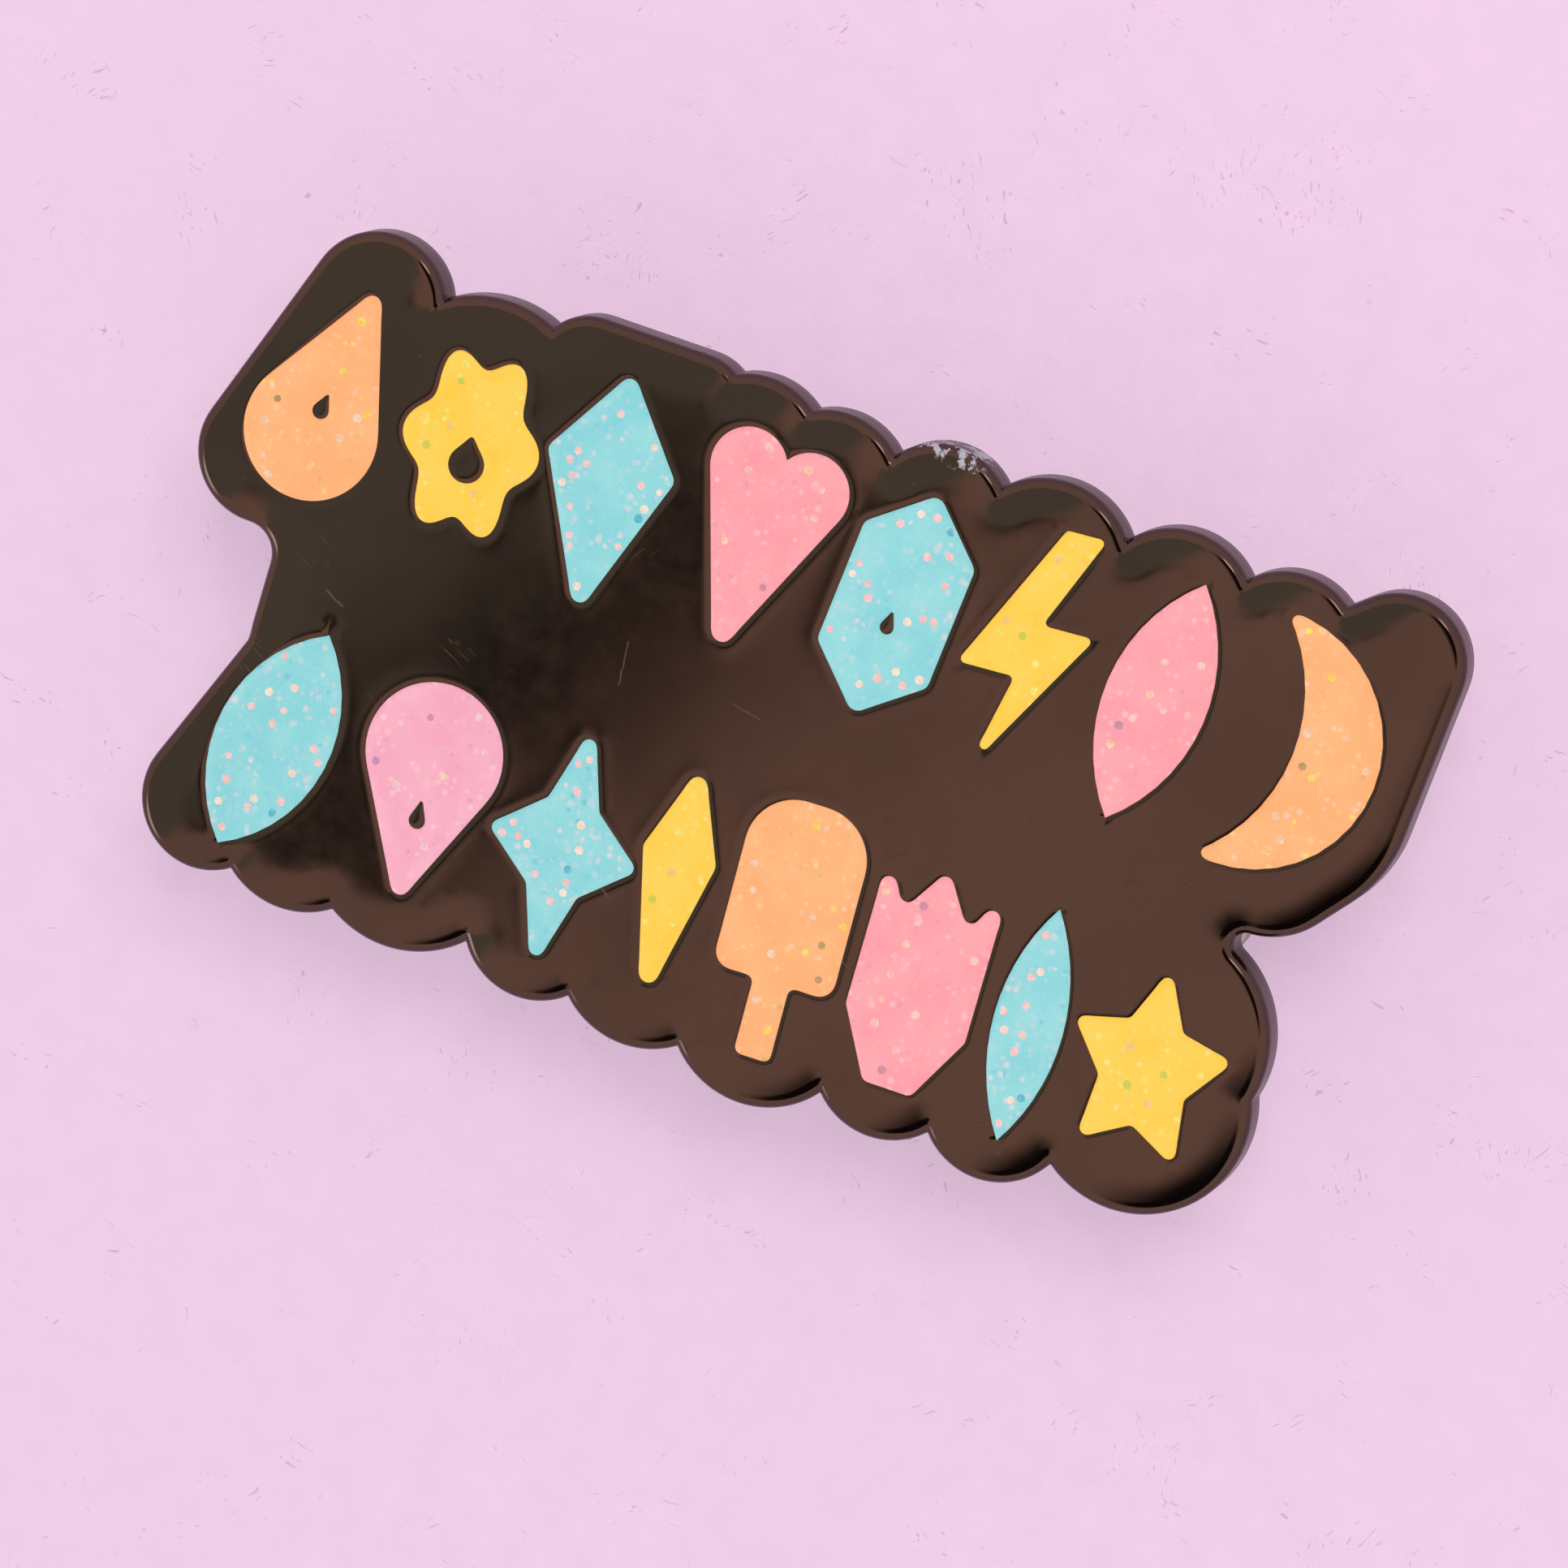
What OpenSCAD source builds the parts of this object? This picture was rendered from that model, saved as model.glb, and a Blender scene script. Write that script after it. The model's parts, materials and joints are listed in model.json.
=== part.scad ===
// Enamel pin on two sprung butterfly clutches.
// The plate lies flat: its back face is at z = 0, its enamelled front faces +Z, and the posts
// and clutches hang below. The rows of motifs run along +X. The origin is the middle of the back face.

/* [Plate] */
// Thickness of the metal plate
plate_t = 1.7; // [1.4:0.1:2.4]
// Radius of the rounded shoulder round the front edge
shoulder_r = 0.35; // [0.1:0.05:0.6]
// Number of steps that the shoulder is made of
shoulder_steps = 2; // [1:1:4]

/* [Enamel] */
// Depth of the cells that hold the enamel
cell_depth = 0.45; // [0.3:0.05:0.7]
// How far the enamel lies below the metal round it
enamel_recess = 0.06; // [0.04:0.01:0.2]
// Straight steps in each rounded corner of a motif
corner_steps = 4; // [2:1:8]

/* [Posts] */
// Distance from the middle of the plate to each post
post_x = 12; // [9:0.5:14]
// Radius of the post's root, between the plate and the clutch
root_r = 0.6; // [0.56:0.01:0.65]
// Radius of the post's shank, where the clutch grips it
shank_r = 0.55; // [0.45:0.01:0.55]
// Length of the post below the back face
post_len = 6.8; // [6.5:0.1:7]
// Length of the sharpened point
point_len = 0.7; // [0.5:0.1:0.9]

/* [Clutch] */
// Room for fabric between the back face and the clutch
fabric_gap = 2.6; // [2.4:0.1:2.7]
// Outer radius of the clutch's disc
disc_r = 5.6; // [5.4:0.1:6]
// Thickness of the clutch's sheet metal
sheet_t = 0.35; // [0.3:0.01:0.38]
// Height of the wings' tips above the clutch's fabric side
wing_h = 5.5; // [5.2:0.1:6]
// How far each wing's tip stands out from the middle
wing_y = 5.8; // [5.4:0.1:6.2]
// Half of the width of each wing
wing_half_w = 2.9; // [2.4:0.1:3.2]

/* [Hidden] */
$fn = 64;
CLEAR = 0.1;                 // running clearance between clutch parts
steps_per_mm = 6;            // least steps in a motif's corner, for each mm of its radius
BLACK_NICKEL = "#30261f";
NICKEL = "#c9c5bf";
SOLDER = "#a9a7a5";
ORANGE = "#fdbb80";
YELLOW = "#fed055";
BLUE = "#8fdde2";
PINK = "#fda0ac";
LILAC = "#f2a9c8";

// Sides of the plate: one round lobe behind each motif, [x, y, radius].
LOBES = [
    [-13.2, 7.3, 4.2], [-3.6, 9.15, 2.8], [-0.6, 8.9, 2.75], [3.4, 9.2, 2.6],
    [7.45, 8.8, 3.1], [12.15, 8.8, 2.9], [16.2, 8.9, 2.65],
    [15.9, -5.2, 4.1], [16.2, -7.6, 3.9], [11.5, -9.4, 2.7], [7.45, -9.25, 2.75],
    [2.7, -9, 3.45], [-1.8, -8.6, 3.3], [-5.9, -8.9, 2.7], [-11, -7.5, 4], [-15, -8.3, 3.2]
];
// Long lobes, each [[x, y], radius, [x, y], radius] of its two round ends.
LONG_LOBES = [
    [[-17.75, 9.9], 2.5, [-20.05, 3.65], 2.5],
    [[-9.8, 10], 2, [-5.9, 10], 2],
    [[20.05, 9.7], 2.4, [17.35, 4.4], 4.75],
    [[17.35, 4.4], 4.75, [17.9, 2.1], 2.88],
    [[-16.05, -2.6], 2.45, [-18.5, -8.7], 2.5]
];
WAIST_X = -18.8;             // the straight edge between the two rows, on the left
WAIST_R = 1.1;               // inside rounding where that edge meets the first lobe
BAY = [LONG_LOBES[3][2], LONG_LOBES[3][3], [LOBES[7][0], LOBES[7][1]], LOBES[7][2]];
BAY_R = 0.43;                // inside rounding where the two rows meet, on the right
BAY_OVERLAP = 0.002;         // how far that rounding runs into the lobes, so that it crosses them cleanly
CORE = [[-17.5, 10], [WAIST_X, 3.7], [WAIST_X, -2.6], [-18.6, -8.5], [15.9, -8.5],
        [17.1, -1.6], [17.1, 0.2], [19.5, 9.5]];

// Motifs: [name, shape, centre, size, tilt in degrees, colour, island size or 0].
MOTIFS = [
    ["drop_orange", "drop", [-18.35, 6.6], [4.9, 8.2], -10, ORANGE, [0.6, 1.0]],
    ["flower_yellow", "flower", [-13, 6.4], [5, 6.9], 4, YELLOW, [1.3, 1.7]],
    ["kite_blue", "kite", [-7.95, 6.25], [4.7, 8.8], 3, BLUE, 0],
    ["heart_pink", "heart", [-2.35, 6.1], [5.1, 8.1], -4, PINK, 0],
    ["gem_blue", "gem", [3, 6], [4.2, 8.2], -5, BLUE, [0.5, 0.9]],
    ["bolt_yellow", "bolt", [7.8, 5.9], [4.5, 8.9], 4, YELLOW, 0],
    ["petal_pink", "petal", [12.6, 5.8], [3.6, 8.8], -6, PINK, 0],
    ["moon_orange", "moon", [18.15, 5.6], [5, 9], -4, ORANGE, 0],
    ["petal_blue", "petal", [-16.8, -5.8], [4.2, 8.5], -12, BLUE, 0],
    ["balloon_lilac", "balloon", [-11.05, -5.9], [5, 8.1], 2, LILAC, [0.6, 1.1]],
    ["sparkle_blue", "sparkle", [-5.75, -5.95], [5.6, 9.2], 2, BLUE, 0],
    ["dart_yellow", "kite", [-1.65, -6], [2.7, 9.3], 2, YELLOW, 0],
    ["lolly_orange", "lolly", [2.65, -6.1], [4.4, 9.2], 2, ORANGE, 0],
    ["tulip_pink", "tulip", [7.6, -6.1], [4.4, 8], 1, PINK, 0],
    ["leaf_blue", "petal", [11.75, -6.3], [2.5, 8.4], 2, BLUE, 0],
    ["star_yellow", "star", [16.1, -6.4], [5.6, 6.8], 3, YELLOW, 0]
];

SIDES = ["left", "right"];
CLUTCH_PARTS = ["post", "solder", "clutch_base", "clutch_cap", "spring", "wing_lower", "wing_upper"];

shoulder_share = 0.98;       // how much of the quarter round the shoulder's steps cover
cell_clear = 1;              // how far each cell's cutter stands past the front

// Post seat and solder
seat_r = 1.85;               // shallow round seat in the back face
seat_depth = 0.25;
flange_r = 1.2;
flange_t = 0.3;
collar_r = root_r + 0.18;    // thicker start of the root, which the solder climbs
collar_len = 0.6;
fillet_len = 0.55;           // how far the solder climbs the collar
fillet_steps = 4;
root_end_z = 0.4 - fabric_gap;
neck_len = 0.55;             // taper from the root to the shank
groove_depth = 0.08;         // shallow ring that the jaws click into
groove_len = 0.3;
groove_up = 0.4;             // from the point to the ring
tip_r = 0.08;                // blunted end of the point

// Heights in the clutch are measured from its fabric side, away from the plate.
disc_hole_r = 0.75;
hole_round = 0.15;           // bevel round the disc's hole
dimples = 4;                 // bumps on the fabric side that bite into the cloth
dimple_place_r = 3.4;
dimple_r = [0.25, 0.55];
dimple_h = 0.18;
rim_h = 1.15;
lip_r = 4.7;                 // inside radius of the crimped lip
lip_h = 0.9;
cap_h = sheet_t + CLEAR;
cap_r = disc_r - sheet_t - 1.5 * CLEAR;
cap_hole_r = disc_hole_r + hole_round;
dome_r = 2.6;
dome_shoulder_h = 3.8;
dome_top_h = 4.7;
foot_r = 0.3;
foot_y = 3.8;
foot_h = cap_h + sheet_t + foot_r + 0.05;
foot_half_w = 1.9;
arm_half_w = 1.15;
arm_h = [2.2, 3.0];          // the lower wing's arm and the upper wing's arm
jaw_gap = 0.03;              // between each jaw and the post
jaw_w = 0.45;
window_half_w = 0.7;         // the post passes through this window in each arm
window_reach = 1.9;
bend_reach = 0.75;           // from the arm's bend to its foot
ear_corner_r = 0.4;
curl_r = 0.3;                // rolled edge on each wing's tip
spring_r = 1.25;
spring_wire_r = 0.13;
spring_turns = 2.25;
spring_low_h = cap_h + sheet_t + spring_wire_r + 0.02;
spring_high_h = arm_h[0] - sheet_t / 2 - spring_wire_r - 0.03;

// ---------- Outline functions: each returns the points of a motif that is centred on 0, 0 ----------

function unit(v) = v / norm(v);
function arc(c, r, from, to, n) =
    [for (i = [0:n]) let (a = from + (to - from) * i / n) c + r * [cos(a), sin(a)]];
function mirrored(points) = [for (i = [len(points) - 1:-1:0]) [-points[i][0], points[i][1]]];
function scaled(points, size) = [for (p = points) [p[0] * size[0], p[1] * size[1]]];

// The arc that rounds corner b, between a and c.
function corner(a, b, c, r) =
    let (u = unit(a - b), v = unit(c - b), half = acos(u * v) / 2,
         centre = b + unit(u + v) * r / sin(half),
         start = b + u * r / tan(half) - centre, end = b + v * r / tan(half) - centre,
         a0 = atan2(start[1], start[0]), turn = atan2(end[1], end[0]) - a0,
         sweep = turn > 180 ? turn - 360 : turn < -180 ? turn + 360 : turn)
    arc(centre, r, a0, a0 + sweep, max(corner_steps, ceil(steps_per_mm * r)));
// r is one radius for all the corners, or a list with one for each.
function rounded(points, r) = let (n = len(points))
    [for (i = [0:n - 1]) each corner(points[(i + n - 1) % n], points[i], points[(i + 1) % n],
                                     is_list(r) ? r[i] : r)];

// A round end of radius w / 2 that narrows to a tip.
function drop(w, h) =
    let (r = w / 2, c = [0, r - h / 2], half = acos(r / (h - r)), tip = [0, h / 2],
         round_end = arc(c, r, 90 + half, 450 - half, 24))
    concat(round_end, corner(round_end[24], tip, round_end[0], 0.07 * w));
function balloon(w, h) = -drop(w, h);
function heart(w, h) =
    let (r = 0.27 * w, c = [w / 2 - r, h / 2 - r], tip = [0, -h / 2], d = c - tip,
         side = atan2(d[1], d[0]) - 180 + acos(r / norm(d)),
         right = arc(c, r, side, acos(-c[0] / r), 14), left = mirrored(right))
    concat(right, [for (i = [1:14]) left[i]], corner(left[14], tip, right[0], 0.4));
// An oval whose edge waves in and out, once for each petal.
function flower(w, h) = let (petals = 6, wave = 0.12)
    [for (a = [0:6:354]) let (k = (1 - wave + wave * cos(petals * a)) / 2)
        [w * k * cos(a), h * k * sin(a)]];
// A body with a round top, on a stick.
function lolly(w, h) =
    let (stick = 0.15 * w, foot = -0.2 * h, top = 0.42 * w, low = 0.14 * w, tight = 0.06 * w)
    rounded([[w / 2, h / 2], [-w / 2, h / 2], [-w / 2, foot], [-stick, foot], [-stick, -h / 2],
             [stick, -h / 2], [stick, foot], [w / 2, foot]],
            [top, top, low, tight, tight, tight, tight, low]);
function kite(w, h) = rounded([[0, h / 2], [-w / 2, h / 8], [0, -h / 2], [w / 2, h / 8]], 0.35);
function gem(w, h) = rounded(scaled([[0, 0.5], [-0.5, 0.27], [-0.5, -0.27], [0, -0.5],
                                     [0.5, -0.27], [0.5, 0.27]], [w, h]), 0.4);
function bolt(w, h) = rounded(scaled([[0.1, 0.5], [-0.5, -0.1], [-0.04, -0.1], [-0.24, -0.5],
                                      [0.5, 0.12], [0.08, 0.12], [0.42, 0.5]], [w, h]), 0.16);
// A bow: the arc from the bottom to the top of height h that stands out by w to the right.
function bow(w, h, n) = let (r = (w * w + h * h / 4) / (2 * w), half = atan2(h / 2, r - w))
    arc([w - r, 0], r, -half, half, n);
function petal(w, h) = let (side = bow(w / 2, h, 14), back = -side)
    concat(side, [for (i = [1:13]) back[i]]);
function moon(w, h) = let (outer = bow(w, h, 20), inner = bow(0.4 * w, h, 14), blunt = 0.22)
    [for (p = concat([for (i = [1:19]) outer[i]], corner(outer[19], outer[20], inner[13], blunt),
                     [for (i = [13:-1:1]) inner[i]], corner(inner[1], outer[0], outer[1], blunt)))
        p - [w / 2, 0]];
function sparkle(w, h) = rounded(
    [for (i = [0:7]) let (a = 45 * i, k = i % 2 == 0 ? 0.5 : 0.24) [w * k * cos(a), h * k * sin(a)]], 0.28);
function tulip(w, h) = rounded(scaled([[0.5, 0.5], [0.27, 0.27], [0, 0.5], [-0.27, 0.27], [-0.5, 0.5],
                                       [-0.5, -0.2], [-0.2, -0.5], [0.2, -0.5], [0.5, -0.2]],
                                      [w, h]), 0.3);
function star(w, h) = rounded(
    [for (i = [0:9]) let (a = 90 + 36 * i, k = i % 2 == 0 ? 0.54 : 0.29) [w * k * cos(a), h * k * sin(a)]],
    0.25);

function motif_points(shape, w, h) =
    shape == "drop" ? drop(w, h) :
    shape == "balloon" ? balloon(w, h) :
    shape == "heart" ? heart(w, h) :
    shape == "flower" ? flower(w, h) :
    shape == "lolly" ? lolly(w, h) :
    shape == "kite" ? kite(w, h) :
    shape == "gem" ? gem(w, h) :
    shape == "bolt" ? bolt(w, h) :
    shape == "petal" ? petal(w, h) :
    shape == "moon" ? moon(w, h) :
    shape == "sparkle" ? sparkle(w, h) :
    shape == "tulip" ? tulip(w, h) : star(w, h);

// ---------- Shared shapes ----------

// Two circles and their outer tangents.
module taper(p, r1, q, r2) {
    d = norm(q - p);
    lean = asin((r1 - r2) / d);
    u = unit(q - p);
    side = [-u[1], u[0]];
    left = u * sin(lean) + side * cos(lean);
    right = u * sin(lean) - side * cos(lean);
    translate(p) circle(r1);
    translate(q) circle(r2);
    polygon([p + left * r1, q + left * r2, q + right * r2, p + right * r1]);
}

// The area of one motif, with its island left out.
module motif(m) {
    translate(m[2]) rotate(m[4]) difference() {
        polygon(motif_points(m[1], m[3][0], m[3][1]));
        if (m[6] != 0) translate([0, -0.08 * m[3][1]]) polygon(drop(m[6][0], m[6][1]));
    }
}

// The plate's outline, drawn in by inset.
module outline(inset) {
    for (l = LOBES) translate([l[0], l[1]]) circle(l[2] - inset);
    for (l = LONG_LOBES) taper(l[0], l[1] - inset, l[2], l[3] - inset);
    intersection() {
        polygon(CORE);
        translate([WAIST_X + inset, -20]) square([60, 40]);
    }
    waist_fillet(inset);
    bay_fillet(inset);
}

// Inside rounding between the first long lobe and the waist.
module waist_fillet(inset) {
    lobe = LONG_LOBES[0][2];
    reach = LONG_LOBES[0][3] + WAIST_R;
    c = [WAIST_X - WAIST_R, lobe[1] - sqrt(reach * reach - pow(WAIST_X - WAIST_R - lobe[0], 2))];
    difference() {
        polygon([lobe, c, [WAIST_X + inset, c[1]], [WAIST_X + inset, lobe[1]]]);
        translate(c) circle(WAIST_R + inset);
    }
}

// Centre of the circle of radius r that touches the circles a and b, to the left on the way from a to b.
function touching(a, a_r, b, b_r, r) =
    let (way = b - a, apart = norm(way), along = way / apart,
         near = (pow(a_r + r, 2) - pow(b_r + r, 2) + apart * apart) / (2 * apart),
         off = sqrt(pow(a_r + r, 2) - near * near))
    a + near * along + off * [-along[1], along[0]];

// Inside rounding between the last lobes of the two rows.
module bay_fillet(inset) {
    c = touching(BAY[0], BAY[1], BAY[2], BAY[3], BAY_R - BAY_OVERLAP);
    difference() {
        polygon([BAY[0], BAY[2], c]);
        translate(c) circle(BAY_R + inset);
    }
}

// ---------- Front ----------

module backing_plate() {
    color(BLACK_NICKEL) difference() {
        union() {
            linear_extrude(plate_t - shoulder_r) outline(0);
            for (i = [1:shoulder_steps]) {
                top = shoulder_r * i / shoulder_steps;
                inset = shoulder_r - sqrt(shoulder_r * shoulder_r - top * top * shoulder_share);
                linear_extrude(plate_t - shoulder_r + top) outline(inset);
            }
        }
        for (m = MOTIFS) translate([0, 0, plate_t - cell_depth])
            linear_extrude(cell_depth + cell_clear) motif(m);
        for (side = [-1, 1]) at_post(side) translate([0, 0, -seat_depth])
            cylinder(r = seat_r, h = 2 * seat_depth);
    }
}

module enamel(i) {
    color(MOTIFS[i][5]) translate([0, 0, plate_t - cell_depth])
        linear_extrude(cell_depth - enamel_recess) motif(MOTIFS[i]);
}

// ---------- Back: each piece is drawn round the post's axis ----------

module at_post(side) {
    translate([side * post_x, 0, 0]) children();
}

// Heights grow away from the plate, from the clutch's fabric side.
module at_clutch(side) {
    at_post(side) translate([0, 0, -fabric_gap]) rotate([180, 0, 0]) children();
}

module post(side) {
    neck_z = root_end_z - neck_len;
    point_z = point_len - post_len;
    groove_z = point_z + groove_up;
    color(NICKEL) at_post(side) rotate_extrude() polygon([
        [0, seat_depth], [flange_r, seat_depth], [flange_r, seat_depth - flange_t],
        [collar_r, seat_depth - flange_t], [collar_r, -collar_len],
        [root_r, -collar_len], [root_r, root_end_z], [shank_r, neck_z],
        [shank_r, groove_z + groove_len], [shank_r - groove_depth, groove_z + groove_len],
        [shank_r - groove_depth, groove_z], [shank_r, groove_z],
        [shank_r, point_z], [tip_r, -post_len], [0, -post_len]
    ]);
}

module solder(side) {
    step_z = seat_depth - flange_t;
    climb = [for (i = [0:fillet_steps]) let (a = 90 * i / fillet_steps)
        [seat_r - (seat_r - collar_r) * sin(a), -fillet_len * (1 - cos(a))]];
    color(SOLDER) at_post(side) rotate_extrude() polygon(concat(
        [[flange_r, seat_depth], [seat_r, seat_depth]], climb, [[collar_r, step_z], [flange_r, step_z]]
    ));
}

module clutch_base(side) {
    edge = 0.25;
    color(NICKEL) at_clutch(side) {
        rotate_extrude() polygon(concat(
            [[disc_hole_r, sheet_t], [disc_hole_r, hole_round], [cap_hole_r, 0]],
            arc([disc_r - edge, edge], edge, -90, 0, 4),
            [[disc_r, rim_h], [lip_r, rim_h], [lip_r, lip_h], [disc_r - sheet_t, lip_h],
             [disc_r - sheet_t, sheet_t]]
        ));
        for (i = [1:dimples]) rotate(360 * (i + 0.5) / dimples)
            translate([dimple_place_r, 0, -dimple_h])
                cylinder(r1 = dimple_r[0], r2 = dimple_r[1], h = dimple_h + sheet_t / 3);
    }
}

module clutch_cap(side) {
    slot_low_h = arm_h[0] - 0.9;
    slot_high_h = arm_h[1] + 0.45;
    slot_half_w = arm_half_w + 0.2;
    round_r = dome_top_h - dome_shoulder_h;
    inner_top_h = dome_top_h - sheet_t;
    color(NICKEL) at_clutch(side) difference() {
        rotate_extrude() polygon(concat(
            [[cap_hole_r, cap_h], [cap_r, cap_h], [cap_r, cap_h + sheet_t],
             [dome_r, cap_h + sheet_t]],
            arc([dome_r - round_r, dome_shoulder_h], round_r, 0, 90, 5),
            [[0, dome_top_h], [0, inner_top_h]],
            arc([dome_r - round_r, dome_shoulder_h], round_r - sheet_t, 90, 0, 5),
            [[dome_r - sheet_t, cap_h + sheet_t], [cap_hole_r, cap_h + sheet_t]]
        ));
        translate([-slot_half_w, -dome_r - 1, slot_low_h])
            cube([2 * slot_half_w, 2 * dome_r + 2, slot_high_h - slot_low_h]);
    }
}

// The coil under the wings' arms: a round wire swept along a helix.
module spring(side) {
    sides = 8;
    rings = 36;
    wire = [for (i = [0:rings]) let (a = 360 * spring_turns * i / rings,
                                     z = spring_low_h + (spring_high_h - spring_low_h) * i / rings)
        for (j = [0:sides - 1]) let (b = 360 * j / sides, r = spring_r + spring_wire_r * cos(b))
            [r * cos(a), r * sin(a), z + spring_wire_r * sin(b)]];
    skin = [for (i = [0:rings - 1]) for (j = [0:sides - 1])
        let (k = (j + 1) % sides)
            [i * sides + j, (i + 1) * sides + j, (i + 1) * sides + k, i * sides + k]];
    ends = [[for (j = [0:sides - 1]) j], [for (j = [sides - 1:-1:0]) rings * sides + j]];
    color(NICKEL) at_clutch(side) polyhedron(wire, concat(skin, ends));
}

// One wing: a windowed arm whose far bar is the jaw, a foot to rock on, and an ear to squeeze.
module wing(arm) {
    bend_y = foot_y - bend_reach;
    jaw_y = shank_r + jaw_gap;
    through = 2 * sheet_t;
    lean = atan2(wing_y - foot_y, wing_h - curl_r - foot_h);
    ear_len = norm([wing_y - foot_y, wing_h - curl_r - foot_h]);
    // Arm, seen from the side, with the post's window cut through it
    difference() {
        rotate([90, 0, 90]) linear_extrude(2 * arm_half_w, center = true) {
            taper([-jaw_y - jaw_w + sheet_t / 2, arm], sheet_t / 2, [bend_y, arm], sheet_t / 2);
            taper([bend_y, arm], sheet_t / 2, [foot_y, foot_h], sheet_t / 2);
        }
        translate([-window_half_w, -jaw_y, arm - through / 2])
            cube([2 * window_half_w, jaw_y + window_reach, through]);
    }
    // Foot and ear
    translate([0, foot_y, foot_h]) {
        rotate([0, 90, 0]) cylinder(r = foot_r, h = 2 * foot_half_w, center = true);
        rotate([-lean, 0, 0]) {
            rotate([90, 0, 0]) linear_extrude(sheet_t, center = true) polygon(rounded([
                [-foot_half_w, 0], [foot_half_w, 0], [wing_half_w, 0.4 * ear_len],
                [wing_half_w, 0.75 * ear_len], [0.7 * wing_half_w, ear_len],
                [-0.7 * wing_half_w, ear_len], [-wing_half_w, 0.75 * ear_len],
                [-wing_half_w, 0.4 * ear_len]], ear_corner_r));
            translate([0, 0, ear_len]) rotate([0, 90, 0])
                cylinder(r = curl_r, h = 1.3 * wing_half_w, center = true);
        }
    }
}

module wing_lower(side) {
    color(NICKEL) at_clutch(side) wing(arm_h[0]);
}

module wing_upper(side) {
    color(NICKEL) at_clutch(side) rotate(180) wing(arm_h[1]);
}

backing_plate();
enamel(0);  // enamel_drop_orange
enamel(1);  // enamel_flower_yellow
enamel(2);  // enamel_kite_blue
enamel(3);  // enamel_heart_pink
enamel(4);  // enamel_gem_blue
enamel(5);  // enamel_bolt_yellow
enamel(6);  // enamel_petal_pink
enamel(7);  // enamel_moon_orange
enamel(8);  // enamel_petal_blue
enamel(9);  // enamel_balloon_lilac
enamel(10);  // enamel_sparkle_blue
enamel(11);  // enamel_dart_yellow
enamel(12);  // enamel_lolly_orange
enamel(13);  // enamel_tulip_pink
enamel(14);  // enamel_leaf_blue
enamel(15);  // enamel_star_yellow
post(-1);  // post_left
solder(-1);  // solder_left
clutch_base(-1);  // clutch_base_left
clutch_cap(-1);  // clutch_cap_left
spring(-1);  // spring_left
wing_lower(-1);  // wing_lower_left
wing_upper(-1);  // wing_upper_left
post(1);  // post_right
solder(1);  // solder_right
clutch_base(1);  // clutch_base_right
clutch_cap(1);  // clutch_cap_right
spring(1);  // spring_right
wing_lower(1);  // wing_lower_right
wing_upper(1);  // wing_upper_right
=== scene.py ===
"""Looks of a wide enamel pin: a lobed, black-nickel plate with sixteen cells of glitter enamel,
and two butterfly clutches on its posts. Lengths are in millimetres until a mesh is made."""
import json
import math
import random

import bmesh
import bpy
import numpy as np
from mathutils import Matrix, Vector, geometry, noise
from mathutils.kdtree import KDTree


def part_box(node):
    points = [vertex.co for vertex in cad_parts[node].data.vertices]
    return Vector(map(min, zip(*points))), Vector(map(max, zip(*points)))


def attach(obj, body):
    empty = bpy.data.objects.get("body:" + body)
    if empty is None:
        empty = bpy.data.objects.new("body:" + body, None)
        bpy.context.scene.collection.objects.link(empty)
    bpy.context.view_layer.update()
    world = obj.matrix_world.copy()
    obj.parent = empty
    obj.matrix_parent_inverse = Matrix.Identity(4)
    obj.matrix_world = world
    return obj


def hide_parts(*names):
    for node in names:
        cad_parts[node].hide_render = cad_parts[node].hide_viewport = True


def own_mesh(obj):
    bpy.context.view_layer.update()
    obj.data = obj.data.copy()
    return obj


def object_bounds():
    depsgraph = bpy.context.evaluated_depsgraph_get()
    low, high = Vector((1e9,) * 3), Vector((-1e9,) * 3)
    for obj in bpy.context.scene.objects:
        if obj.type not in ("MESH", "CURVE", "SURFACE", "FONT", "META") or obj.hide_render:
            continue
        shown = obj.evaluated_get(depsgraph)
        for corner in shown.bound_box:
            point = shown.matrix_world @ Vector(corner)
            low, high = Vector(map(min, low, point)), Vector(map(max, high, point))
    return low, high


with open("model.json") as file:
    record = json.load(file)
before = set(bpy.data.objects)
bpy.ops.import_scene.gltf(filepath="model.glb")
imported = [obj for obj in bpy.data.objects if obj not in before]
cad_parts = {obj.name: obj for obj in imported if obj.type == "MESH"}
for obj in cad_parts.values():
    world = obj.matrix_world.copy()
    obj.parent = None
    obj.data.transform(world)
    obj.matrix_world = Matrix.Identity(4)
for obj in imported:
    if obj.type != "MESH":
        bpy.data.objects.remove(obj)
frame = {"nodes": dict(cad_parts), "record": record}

MM = 0.001
cad_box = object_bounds()


# ---------- Sizes, in mm, read from the frame ----------

def box_mm(node):
    low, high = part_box(node)
    return Vector(low) / MM, Vector(high) / MM


MOTIFS = [name[len("enamel_"):] for name in frame["nodes"] if name.startswith("enamel_")]
PLATE_T = box_mm("backing_plate")[1].z
CELL_FLOOR = box_mm("enamel_" + MOTIFS[0])[0].z
ENAMEL_TOP = box_mm("enamel_" + MOTIFS[0])[1].z
SEAT_DEPTH = box_mm("solder_left")[1].z
SEAT_R = (box_mm("solder_left")[1].x - box_mm("solder_left")[0].x) / 2
POST_X = (box_mm("post_right")[0].x + box_mm("post_right")[1].x) / 2
FLOOR_Z = cad_box[0][2] / MM

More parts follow.
